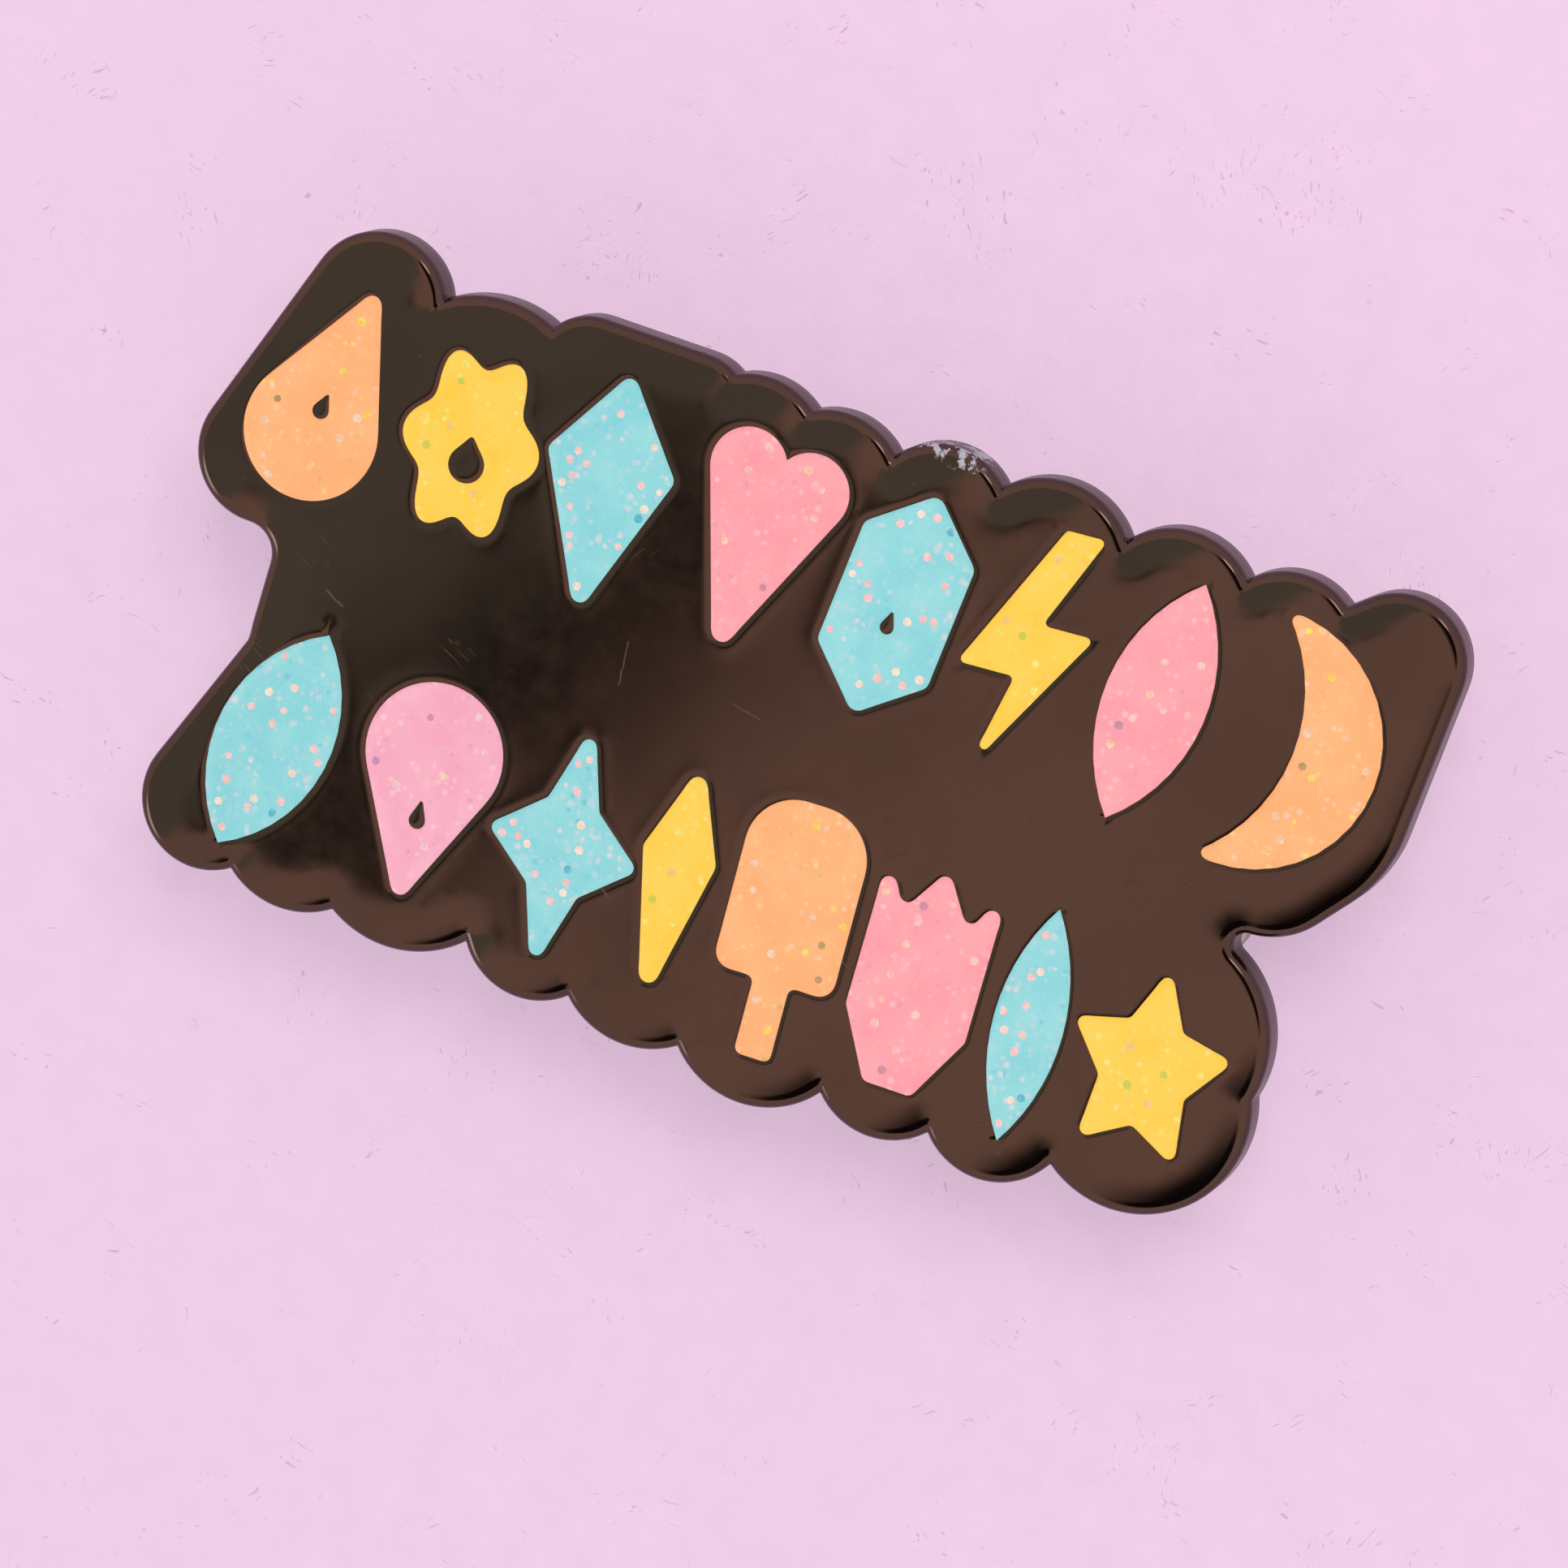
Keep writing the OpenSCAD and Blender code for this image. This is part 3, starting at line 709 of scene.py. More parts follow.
def make_glitter(motif, loops, tints, seed):
    """Hexagonal flakes that lie in the enamel's surface, each a closed plate with its own small tilt.
    tints are [(material, how many to a square mm)]."""
    dice = random.Random(seed)
    total = abs(area(loops[0])) - sum(abs(area(island)) for island in loops[1:])
    low, high = loops[0].min(axis=0), loops[0].max(axis=0)
    solid = Solid()
    spots, materials = [], []
    for k, (_, density) in enumerate(tints):
        wanted = round(total * density)
        tries = 0
        while wanted and tries < MOST_TRIES:
            tries += 1
            spot = np.array([dice.uniform(low[0], high[0]), dice.uniform(low[1], high[1])])
            crowd = wobble(spot[0], spot[1], 1.7, seed) + dice.uniform(-0.5, 0.5)
            if crowd < -0.15 or any(np.sum((spot - s) ** 2) < FLAKE_R ** 2 * 4.6 for s in spots):
                continue
            here = spot[None, :]
            gap = distance(here, loops)
            if not inside(here, loops)[0] or gap[0] < 1.25 * FLAKE_R:
                continue
            wanted -= 1
            spots.append(spot)
            r = FLAKE_R * dice.uniform(0.85, 1.1)
            turn = dice.uniform(0, math.pi / 3)
            lean, toward = math.radians(dice.uniform(0.2, FLAKE_TILT)), dice.uniform(0, 2 * math.pi)
            top = float(enamel_height(here, gap, seed)[0]) + FLAKE_PROUD
            rims = []
            for level in (0, -FLAKE_T):
                corners = []
                for j in range(6):
                    a = turn + j * math.pi / 3
                    rise = r * math.cos(a - toward) * math.tan(lean)
                    x, y = spot[0] + r * math.cos(a), spot[1] + r * math.sin(a)
                    corners.append((x, y, top + level + rise))
                rims.append(solid.add(corners))
            solid.faces += [tuple(rims[0]), tuple(reversed(rims[1]))]
            solid.wall(*rims)
            materials += [k] * 8
    piece = build("glitter_" + motif, solid, "pin", tints[0][0])
    for material, _ in tints[1:]:
        piece.data.materials.append(material)
    piece.data.polygons.foreach_set("material_index", materials)


# ---------- Posts and clutches ----------
# Heights in a clutch are measured from its fabric side, away from the plate, as (x, y, h).

POST_FLANGE_R = 1.2
COLLAR_R = 0.78              # of the post where it leaves its flange, 0.05 past the back
COLLAR_Z = -0.05
SOLDER_CLIMB = 0.55          # how far the solder climbs the collar
SHEET_T = 0.35
WING_T = 0.28                # thickness of the wings' sheet, thinned where it is rolled
ROLL_R = 0.16                # middle of the sheet in the wings' foot and rolled tip
DISC_R = 5.6
DISC_HOLE_R = 0.75
DIMPLE_RING_R, DIMPLE_R, DIMPLE_DEPTH = 3.4, 0.6, 0.18
FLANGE_R, FLANGE_H = 5.1, (0.45, 0.8)        # the cap's flange, and from which height to which
DOME_R = 2.6
DOME_TOP = 4.7
DENT_DEPTH = 0.09            # of the dome's flat top
SLOT_HALF_W, SLOT_H = 1.35, (1.3, 3.45)      # the dome's slots for the arms
FOOT = (3.8, 1.15)           # (y, h) of the wings' foot and tip
TIP = (5.8, 5.2)
ARM_H = {"lower": 2.2, "upper": 3.0}
FACING = {"lower": 1, "upper": -1}
ARM_HALF_W = 1.15
FOOT_HALF_W = 1.9
WING_HALF_W = 2.9
JAW_REACH = 1.03
WINDOW = (0.7, -0.58, 1.9)   # half width, and from y to y, of the hole that the post passes through
WORN_EDGE = 0.055            # bevel of the wings' edges
EAR_DISH = 0.10
SPRING_R = 1.25
SPRING_WIRE_R = 0.13
SPRING_TURNS = 2.25
SPRING_H = (0.95, 1.865)


def joint(name):
    return next(j for j in frame["record"]["behaviour"]["joints"] if j["name"] == name)


def clutch_place(side):
    """The function that takes (x, y, h) in that side's clutch to a place on the pin, in mm."""
    x0, _, z0 = (c / MM for c in joint("clutch_swivel_" + side)["pos_m"])
    return lambda x, y, h: (x0 + x, -y, z0 - h)


def post_place(side):
    """The function that takes (x, y, z) about that side's post to a place on the pin, in mm."""
    x0 = joint("clutch_swivel_" + side)["pos_m"][0] / MM
    return lambda x, y, z: (x0 + x, y, z)


def rounded(points, steps=4):
    """A closed outline with round corners, from (x, y, corner radius) points."""
    outline = []
    for i, (x, y, r) in enumerate(points):
        p = np.array([x, y])
        u = np.array(points[i - 1][:2]) - p
        v = np.array(points[(i + 1) % len(points)][:2]) - p
        shortest = min(np.linalg.norm(u), np.linalg.norm(v))
        u, v = u / np.linalg.norm(u), v / np.linalg.norm(v)
        half = math.acos(max(-1, min(1, float(u @ v)))) / 2
        if r == 0 or half > 1.55:
            outline.append(p)
            continue
        cut = min(r / math.tan(half), 0.48 * shortest)
        r = cut * math.tan(half)
        centre = p + (u + v) / np.linalg.norm(u + v) * r / math.sin(half)
        start, end = p + u * cut - centre, p + v * cut - centre
        turn = math.atan2(start[0] * end[1] - start[1] * end[0], float(start @ end))
        for k in range(steps + 1):
            a = turn * k / steps
            outline.append(centre + np.array([start[0] * math.cos(a) - start[1] * math.sin(a),
                                              start[0] * math.sin(a) + start[1] * math.cos(a)]))
    return np.array(outline)


def turned_solid(profile, steps, place, shape=None):
    """A closed outline of (r, h) points turned about the axis. shape may move each (x, y, h)."""
    solid = Solid()
    rings = []
    for r, h in profile:
        turns = [2 * math.pi * i / steps for i in range(1 if r < 1e-6 else steps)]
        points = [(r * math.cos(a), r * math.sin(a), h) for a in turns]
        rings.append(solid.add([place(*(shape(*point) if shape else point)) for point in points]))
    for one, other in zip(rings, rings[1:] + rings[:1]):
        for i in range(steps):
            j = i + 1
            corners = [ring[k % len(ring)] for ring, k in ((one, i), (one, j), (other, j), (other, i))]
            face = list(dict.fromkeys(corners))
            if len(face) > 2:
                solid.faces.append(tuple(face))
    return solid


def close_up(profile, low, high, step):
    """The outline with extra points where it runs between those two radii."""
    points = []
    for a, b in zip(profile, np.roll(profile, -1, axis=0)):
        reaches = max(a[0], b[0]) > low and min(a[0], b[0]) < high
        cuts = max(1, math.ceil(abs(b[0] - a[0]) / step)) if reaches else 1
        points += [a + (b - a) * i / cuts for i in range(cuts)]
    return np.array(points)


def make_post(side, material):
    """The post: a flange in its seat, a collar, a shaft with a ring that the jaws grip, and a point."""
    profile = rounded([
        (0, SEAT_DEPTH, 0), (POST_FLANGE_R, SEAT_DEPTH, 0.03), (POST_FLANGE_R, COLLAR_Z, 0.05),
        (COLLAR_R, COLLAR_Z, 0), (COLLAR_R, -0.6, 0.1), (0.6, -0.6, 0.05), (0.6, -2.2, 0.3),
        (0.55, -2.75, 0.3), (0.55, -5.4, 0.04), (0.47, -5.4, 0.04), (0.47, -5.7, 0.04),
        (0.55, -5.7, 0.04), (0.55, -6.1, 0.25), (0.08, -6.8, 0.05), (0, -6.8, 0)])
    solid = turned_solid(profile, 64, post_place(side))
    build("shaft_" + side, solid, "pin", material, ["post_" + side])


def make_solder(side, material):
    """The solder between seat and collar: a hollow slope with an uneven surface."""
    slope = [(SEAT_R - (SEAT_R - COLLAR_R) * math.sin(a), -SOLDER_CLIMB * (1 - math.cos(a)), 0)
             for a in np.linspace(0, math.pi / 2, 12)]
    profile = rounded([
        (POST_FLANGE_R, SEAT_DEPTH, 0), (SEAT_R, SEAT_DEPTH, 0), *slope, (COLLAR_R, COLLAR_Z, 0),
        (POST_FLANGE_R, COLLAR_Z, 0)])
    seed = joint("clutch_swivel_" + side)["pos_m"][0] / MM

    def lumpy(x, y, z):
        free = max(0.0, min(1.0, (-z - 0.06) / 0.1)) * max(0.0, min(1.0, (SOLDER_CLIMB - 0.03 + z) / 0.1))
        swell = wobble(x, y, 0.8, seed) + 0.5 * wobble(x, y, 0.35, seed + 5)
        return x, y, z - 0.05 * free * swell

    solid = turned_solid(profile, 72, post_place(side), lumpy)
    build("fillet_" + side, solid, "pin", material, ["solder_" + side])


def make_disc(side, material):
    """The stamped disc: four dimples bite into the fabric, and the rim is crimped over the cap."""
    bevel, inner = 0.15, DISC_R - SHEET_T
    profile = close_up(rounded([
        (DISC_HOLE_R, SHEET_T, 0.06), (DISC_HOLE_R, bevel, 0.04), (DISC_HOLE_R + bevel, 0, 0.06),
        (DISC_R, 0, 0.3), (DISC_R, 1.15, 0.2), (4.7, 1.15, 0.12), (4.7, 0.9, 0.08), (inner, 0.9, 0.05),
        (inner, SHEET_T, 0.12)], 5), 2.7, 4.1, 0.11)
    diagonals = [math.pi / 4 + k * math.pi / 2 for k in range(4)]
    dimples = [(DIMPLE_RING_R * math.cos(a), DIMPLE_RING_R * math.sin(a)) for a in diagonals]

    def pressed(x, y, h):
        away = min(math.hypot(x - a, y - b) for a, b in dimples)
        if h < 0.5 and away < DIMPLE_R:
            h -= DIMPLE_DEPTH / 2 * (1 + math.cos(math.pi * away / DIMPLE_R))
        r, a = math.hypot(x, y), math.atan2(y, x)
        if r < 5.0 and h > 0.85:
            pull = 0.018 * math.cos(36 * a) + 0.01 * math.sin(13 * a)
            x, y = x * (1 + pull / r), y * (1 + pull / r)
        return x, y, h

    solid = turned_solid(profile, 144, clutch_place(side), pressed)
    build("disc_" + side, solid, "clutch_" + side, material,
          ["clutch_base_" + side], 40)


def make_dome(side, material):
    """The cap: a flange under the disc's lip, and a dome with a slot on each side for an arm."""
    hole = DISC_HOLE_R + 0.15
    under, over = FLANGE_H
    inner = DOME_R - SHEET_T
    dent = DOME_TOP - DENT_DEPTH
    profile = rounded([
        (hole, under, 0.05), (FLANGE_R, under, 0.08), (FLANGE_R, over, 0.08), (DOME_R, over, 0.22),
        (DOME_R, DOME_TOP, 0.95), (1.45, DOME_TOP, 0.2), (1.25, dent, 0.2), (0, dent, 0),
        (0, dent - SHEET_T, 0), (inner, DOME_TOP - SHEET_T, 0.6), (inner, over, 0.1),
        (hole, over, 0.05)], 6)
    place = clutch_place(side)
    solid = turned_solid(profile, 96, place)
    piece = build("dome_" + side, solid, "swivel_" + side, material,
                  ["clutch_cap_" + side], 40)
    slot = rounded([(x * SLOT_HALF_W, h, 0.3) for x, h in
                    ((-1, SLOT_H[0]), (1, SLOT_H[0]), (1, SLOT_H[1]), (-1, SLOT_H[1]))], 5)
    cutter = Solid()
    ends = [cutter.add([place(x, y, h) for x, h in slot]) for y in (-DOME_R - 1, DOME_R + 1)]
    cutter.wall(*ends)
    cutter.faces += [tuple(end) for end in ends]
    tool = build("slot_tool", cutter, "swivel_" + side, material)
    cut = piece.modifiers.new("cut", "BOOLEAN")
    cut.operation = "DIFFERENCE"
    cut.solver = "EXACT"
    cut.object = tool
    settle(piece, 40)
    bpy.data.objects.remove(tool, do_unlink=True)


def settle(piece, sharp):
    """Applies the piece's modifiers to its mesh, and joins vertices that ended up in one place."""
    bpy.context.view_layer.update()
    shown = piece.evaluated_get(bpy.context.evaluated_depsgraph_get())
    mesh = bpy.data.meshes.new_from_object(shown)
    bm = bmesh.new()
    bm.from_mesh(mesh)
    bmesh.ops.remove_doubles(bm, verts=bm.verts, dist=0.001 * MM)
    bm.to_mesh(mesh)
    bm.free()
    piece.modifiers.clear()
    piece.data = mesh
    shade(mesh, sharp)


def wing_path(arm):
    """The middle of a wing's sheet seen from the side, as (y, h) points: jaw, arm, foot, ear and tip."""
    low = FOOT[1] - ROLL_R
    bend = 0.9 * ROLL_R
    foot_in, foot_out = FOOT[0] - ROLL_R, FOOT[0] + ROLL_R
    up = np.array([TIP[0] - FOOT[0], TIP[1] - FOOT[1]])
    up /= np.linalg.norm(up)
    left = np.array([-up[1], up[0]])
    end = np.array(TIP) + left * ROLL_R
    turns = rounded([(-JAW_REACH, arm, 0), (3.05, arm, 0.5), (foot_in, low, bend), (foot_out, low, bend),
                     (end[0], end[1], 0), (end[0], end[1] + 9, 0)], 6)
    path = [tuple(p) for p in turns[:-1]]
    for k in range(1, 13):
        a = math.radians(-20 * k)
        spoke = left * ROLL_R
        path.append((TIP[0] + spoke[0] * math.cos(a) - spoke[1] * math.sin(a),
                     TIP[1] + spoke[0] * math.sin(a) + spoke[1] * math.cos(a)))
    return np.array(path)


def spread(path, step, stops):
    """The path with points at most step apart, and one at each of the stops along its first stretch."""
    points = [path[0]]
    for a, b in zip(path, path[1:]):
        marks = [s for s in stops if a[1] == b[1] and a[0] < s < b[0]]
        ends = [a] + [np.array([s, a[1]]) for s in marks] + [b]
        for p, q in zip(ends, ends[1:]):
            cuts = max(1, math.ceil(float(np.linalg.norm(q - p)) / step))
            points += [p + (q - p) * (i + 1) / cuts for i in range(cuts)]
    return np.array(points)


def make_wing(side, which, material):
    """One wing: a bent sheet with a window for the post in its arm, and a dished ear."""
    arm, facing = ARM_H[which], FACING[which]
    half, back, ahead = WINDOW
    path = spread(wing_path(arm), 0.22, (back, ahead))
    tangent = np.gradient(path, axis=0)
    tangent /= np.linalg.norm(tangent, axis=1)[:, None]
    normal = np.stack([-tangent[:, 1], tangent[:, 0]], axis=1)
    along = np.concatenate([[0], np.cumsum(np.linalg.norm(np.diff(path, axis=0), axis=1))])
    foot = along[int(np.argmin(path[:, 1]))]
    ear = math.dist(FOOT, TIP)
    arm_keys = [(0, 0.9 * ARM_HALF_W), (0.25, ARM_HALF_W), (foot - 1.1, ARM_HALF_W),
                (foot - 0.35, FOOT_HALF_W), (foot + 0.35, FOOT_HALF_W)]
    ear_keys = [(0.36, 0.97), (0.45, 1), (0.72, 1), (0.9, 0.84), (1, 0.66)]
    keys = arm_keys + [(foot + share * ear, w * WING_HALF_W) for share, w in ear_keys]
    width = np.interp(along, *zip(*keys))
    share = half / ARM_HALF_W
    columns = [-1, -0.96, -0.8, -share, -0.4, -0.2, 0, 0.2, 0.4, share, 0.8, 0.96, 1]
    rise, fall = (along - foot - 0.6) / 1.2, (foot + ear - 0.3 - along) / 0.8
    dish = EAR_DISH * np.clip(rise, 0, 1) * np.clip(fall, 0, 1)
    place = clutch_place(side)
    solid = Solid()
    sheets = []
    for layer in (0.5, -0.5):
        rows = []
        for p, n, w, d in zip(path, normal, width, dish):
            points = [(u, *(p + n * (layer * WING_T - d * (1 - u * u)))) for u in columns]
            rows.append(solid.add([place(facing * u * w, facing * y, h) for u, y, h in points]))
        sheets.append(rows)
    filled = {}
    for i in range(len(path) - 1):
        middle = (path[i] + path[i + 1]) / 2
        for k in range(len(columns) - 1):
            in_window = back < middle[0] < ahead and abs(columns[k] + columns[k + 1]) < 2 * share
            hole = middle[1] > arm - 0.01 and in_window
            filled[i, k] = not hole
    for (i, k), here in filled.items():
        if not here:
            continue
        for rows in sheets:
            solid.faces.append((rows[i][k], rows[i][k + 1], rows[i + 1][k + 1], rows[i + 1][k]))
        for di, dk, a, b in ((-1, 0, (0, 0), (0, 1)), (1, 0, (1, 0), (1, 1)), (0, -1, (0, 0), (1, 0)),
                             (0, 1, (0, 1), (1, 1))):
            if not filled.get((i + di, k + dk)):
                one, other = ([rows[i + c[0]][k + c[1]] for rows in sheets] for c in (a, b))
                solid.faces.append((one[0], other[0], other[1], one[1]))
    piece = build(f"{which}_leaf_{side}", solid, f"{which}_wing_{side}", material,
                  [f"wing_{which}_{side}"], 40)
    bevel = piece.modifiers.new("worn edges", "BEVEL")
    bevel.width = WORN_EDGE * MM
    bevel.segments = 3
    bevel.limit_method = "ANGLE"
    bevel.angle_limit = math.radians(50)
    settle(piece, 50)


def make_spring(side, material):
    """The coil under the arms. Its ends are ground flat."""
    place = clutch_place(side)
    sides, rings = 14, 84
    solid = Solid()
    rows = []
    for i in range(rings + 1):
        t = i / rings
        a = 2 * math.pi * SPRING_TURNS * t
        ease = t - 0.055 * math.sin(2 * math.pi * t)
        middle = SPRING_H[0] + (SPRING_H[1] - SPRING_H[0]) * ease
        thin = min(1, 0.6 + 12 * t, 0.6 + 12 * (1 - t))
        row = []
        for j in range(sides):
            b = 2 * math.pi * j / sides
            r = SPRING_R + SPRING_WIRE_R * math.cos(b)
            h = middle + thin * SPRING_WIRE_R * math.sin(b)
            row.append(place(r * math.cos(a), r * math.sin(a), h))
        rows.append(solid.add(row))
    for one, other in zip(rows, rows[1:]):
        solid.wall(one, other)
    solid.faces += [tuple(rows[0]), tuple(rows[-1])]
    piece = build("coil_" + side, solid, "swivel_" + side, material, ["spring_" + side])
    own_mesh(piece)


# ---------- Materials ----------

class Nodes:
    """A node tree that short calls add to."""

    def __init__(self, tree):
        self.tree = tree

    def put(self, socket, value):
        """Links a socket to the input, or gives the input a number, a vector or a colour."""
        if isinstance(value, bpy.types.NodeSocket):
            self.tree.links.new(value, socket)
        elif socket.type == "RGBA":
            socket.default_value = (*value, 1)
        else:
            socket.default_value = value

    def add(self, kind, inputs=(), **settings):
        """A new node. inputs go from the input's name or number to what is put there."""
        node = self.tree.nodes.new("ShaderNode" + kind)
        for name, value in settings.items():
            setattr(node, name, value)
        for key, value in dict(inputs).items():
            self.put(node.inputs[key], value)
        return node

    def op(self, operation, a, b=None, scale=None):
        """Vector math."""
        inputs = {0: a} if b is None else {0: a, 1: b}
        if scale is not None:
            inputs["Scale"] = scale
        node = self.add("VectorMath", inputs, operation=operation)
        is_number = operation in ("LENGTH", "DISTANCE", "DOT_PRODUCT")
        return node.outputs["Value" if is_number else "Vector"]

    def math(self, operation, a, b=0.0):
        return self.add("Math", {0: a, 1: b}, operation=operation).outputs[0]

    def map(self, value, low, high, to_low=0.0, to_high=1.0):
        """Value from low to high becomes to_low to to_high, smoothly."""
        inputs = {"Value": value, "From Min": low, "From Max": high, "To Min": to_low, "To Max": to_high}
        return self.add("MapRange", inputs, interpolation_type="SMOOTHSTEP").outputs[0]

    def mix(self, factor, a, b):
        return self.add("Mix", {"Factor": factor, 6: a, 7: b}, data_type="RGBA").outputs[2]

    def part(self, vector, axis):
        return self.add("SeparateXYZ", {0: vector}).outputs[axis]


class Look(Nodes):
    """A material. Sizes in its nodes are in mm."""

    def __init__(self, name, **inputs):
        self.material = bpy.data.materials.new(name)
        self.material.use_nodes = True
        super().__init__(self.material.node_tree)
        self.shader = self.tree.nodes["Principled BSDF"]
        self.set(**inputs)
        self.mm = self.op("SCALE", self.add("TexCoord").outputs["Object"], scale=1 / MM)

    def set(self, **inputs):
        """Sets the shader's inputs: base_color=... for Base Color, and so on. A socket is linked."""
        for key, value in inputs.items():
            socket = self.shader.inputs[key.replace("_", " ").title().replace("Ior", "IOR")]
            self.put(socket, value)

    def noise(self, size, detail=2.0, rough=0.5, where=None):
        inputs = {"Vector": where or self.mm, "Scale": 1 / size, "Detail": detail, "Roughness": rough}
        return self.add("TexNoise", inputs).outputs["Fac"]

    def bent(self, size, amount):
        """Coordinates that noise of that size moves by up to about amount mm."""
        node = self.add("TexNoise", {"Vector": self.mm, "Scale": 1 / size})
        return self.op("ADD", self.mm, self.op("SCALE", node.outputs["Color"], scale=2 * amount))

    def spots(self, size, where=None):
        """(distance to the middle of the nearest cell in mm, the cell's random colour)."""
        node = self.add("TexVoronoi", {"Vector": where or self.mm, "Scale": 1 / size})
        return self.math("MULTIPLY", node.outputs["Distance"], size), node.outputs["Color"]

    def turned(self, angle, stretch, where=None):
        """Coordinates turned about Z by that angle in degrees, then scaled along each axis."""
        turn = {"Vector": where or self.mm, "Rotation": (0, 0, math.radians(angle))}
        spun = self.add("Mapping", turn).outputs[0]
        return self.add("Mapping", {"Vector": spun, "Scale": stretch}).outputs[0]

    def bump(self, height, depth, normal=None):
        """Height 1 stands depth mm out of height 0."""
        inputs = {"Distance": depth * MM, "Height": height}
        if normal is not None:
            inputs["Normal"] = normal
        return self.add("Bump", inputs).outputs[0]

    def stroke(self, start, end, width, where):
        """A mask of one straight mark of that width from start to end, seen from above."""
        way = (end[0] - start[0], end[1] - start[1], 0.0)
        from_start = self.op("SUBTRACT", where, (*start, 0.0))
        from_start = self.op("MULTIPLY", from_start, (1.0, 1.0, 0.0))
        square = way[0] ** 2 + way[1] ** 2
        share = self.math("MULTIPLY", self.op("DOT_PRODUCT", from_start, way), 1 / square)
        share = self.math("MINIMUM", self.math("MAXIMUM", share, 0.0), 1.0)
        gap = self.op("DISTANCE", from_start, self.op("SCALE", way, scale=share))
        return self.map(gap, width / 2, width / 5)

    def scratches(self, angle, spread, length, share):
        """A mask of a few hairline scratches that run about along that angle."""
        stretched = self.turned(angle, (spread / length, 1, 1), self.bent(6.0, 0.5))
        lines = self.noise(spread, 0.0, 0.4, stretched)
        patch = self.noise(4.0, 2.0, 0.5, self.op("ADD", self.mm, (angle, 0.0, 0.0)))
        return self.math("MULTIPLY", self.map(lines, share, share + 0.05), self.map(patch, 0.68, 0.76))


def srgb(*levels):
    """Linear colour of sRGB levels from 0 to 255."""
    return tuple((v / 255 / 12.92) if v <= 10 else ((v / 255 + 0.055) / 1.055) ** 2.4 for v in levels)


def black_nickel():
    look = Look("black_nickel", metallic=1.0)
    tone = look.noise(7.0, 3.0)
    dark, warm = (0.128, 0.087, 0.074), (0.142, 0.094, 0.079)
    colour = look.mix(look.map(tone, 0.35, 0.65), dark, warm)
    fine = look.scratches(24, 0.05, 7.0, 0.74)
    cross = look.scratches(-52, 0.04, 6.0, 0.72)
    marks = look.math("MAXIMUM", fine, cross)
    shaky = look.bent(0.35, 0.06)
    for start, end, width in NICKS:
        marks = look.math("MAXIMUM", marks, look.stroke(start, end, width, shaky))
    gap, shade = look.spots(1.3)
    rare = look.map(look.part(shade, 0), 0.82, 0.84)
    pits = look.math("MULTIPLY", look.map(gap, 0.06, 0.02), rare)
    worn = look.math("MAXIMUM", marks, pits)
    colour = look.mix(look.math("MULTIPLY", worn, 0.25), colour, (0.42, 0.36, 0.33))
    smear = look.noise(1.1, 4.0, 0.6)
    rough = look.map(smear, 0.3, 0.75, 0.062, 0.085)
    rough = look.math("ADD", rough, look.math("MULTIPLY", marks, 0.2))
    # The cut edge keeps fine upright marks, and the back a sandblasted grain
    up = look.part(look.add("NewGeometry").outputs["Normal"], 2)
    side = look.map(look.math("ABSOLUTE", up), 0.5, 0.1)
    back = look.map(up, -0.6, -0.9)
    upright = look.noise(0.07, 2.0, 0.5, look.turned(0, (1, 1, 0.05)))
    grain = look.noise(0.09, 3.0, 0.7)
    rough = look.math("ADD", rough, look.math("MULTIPLY", side, 0.1))
    rough = look.math("ADD", rough, look.math("MULTIPLY", back, 0.28))
    relief = look.bump(look.math("MULTIPLY", upright, side), 0.004)
    relief = look.bump(look.math("MULTIPLY", grain, back), 0.02, relief)
    relief = look.bump(look.math("SUBTRACT", 1.0, worn), 0.003, relief)
    # Pale polishing compound that stayed on the edge
    chips = look.noise(0.5, 4.0, 0.65)
    left_over = look.stroke(*RESIDUE, where=look.bent(0.9, 0.25))
    residue = look.math("MULTIPLY", left_over, look.map(chips, 0.50, 0.56))
    colour = look.mix(look.math("MULTIPLY", residue, 0.8), colour, (0.55, 0.56, 0.62))
    rough = look.math("ADD", rough, look.math("MULTIPLY", residue, 0.45))
    look.set(base_color=colour, roughness=rough, metallic=look.map(residue, 0.0, 1.0, 1.0, 0.2),
             normal=look.bump(residue, 0.02, relief))
    return look.material


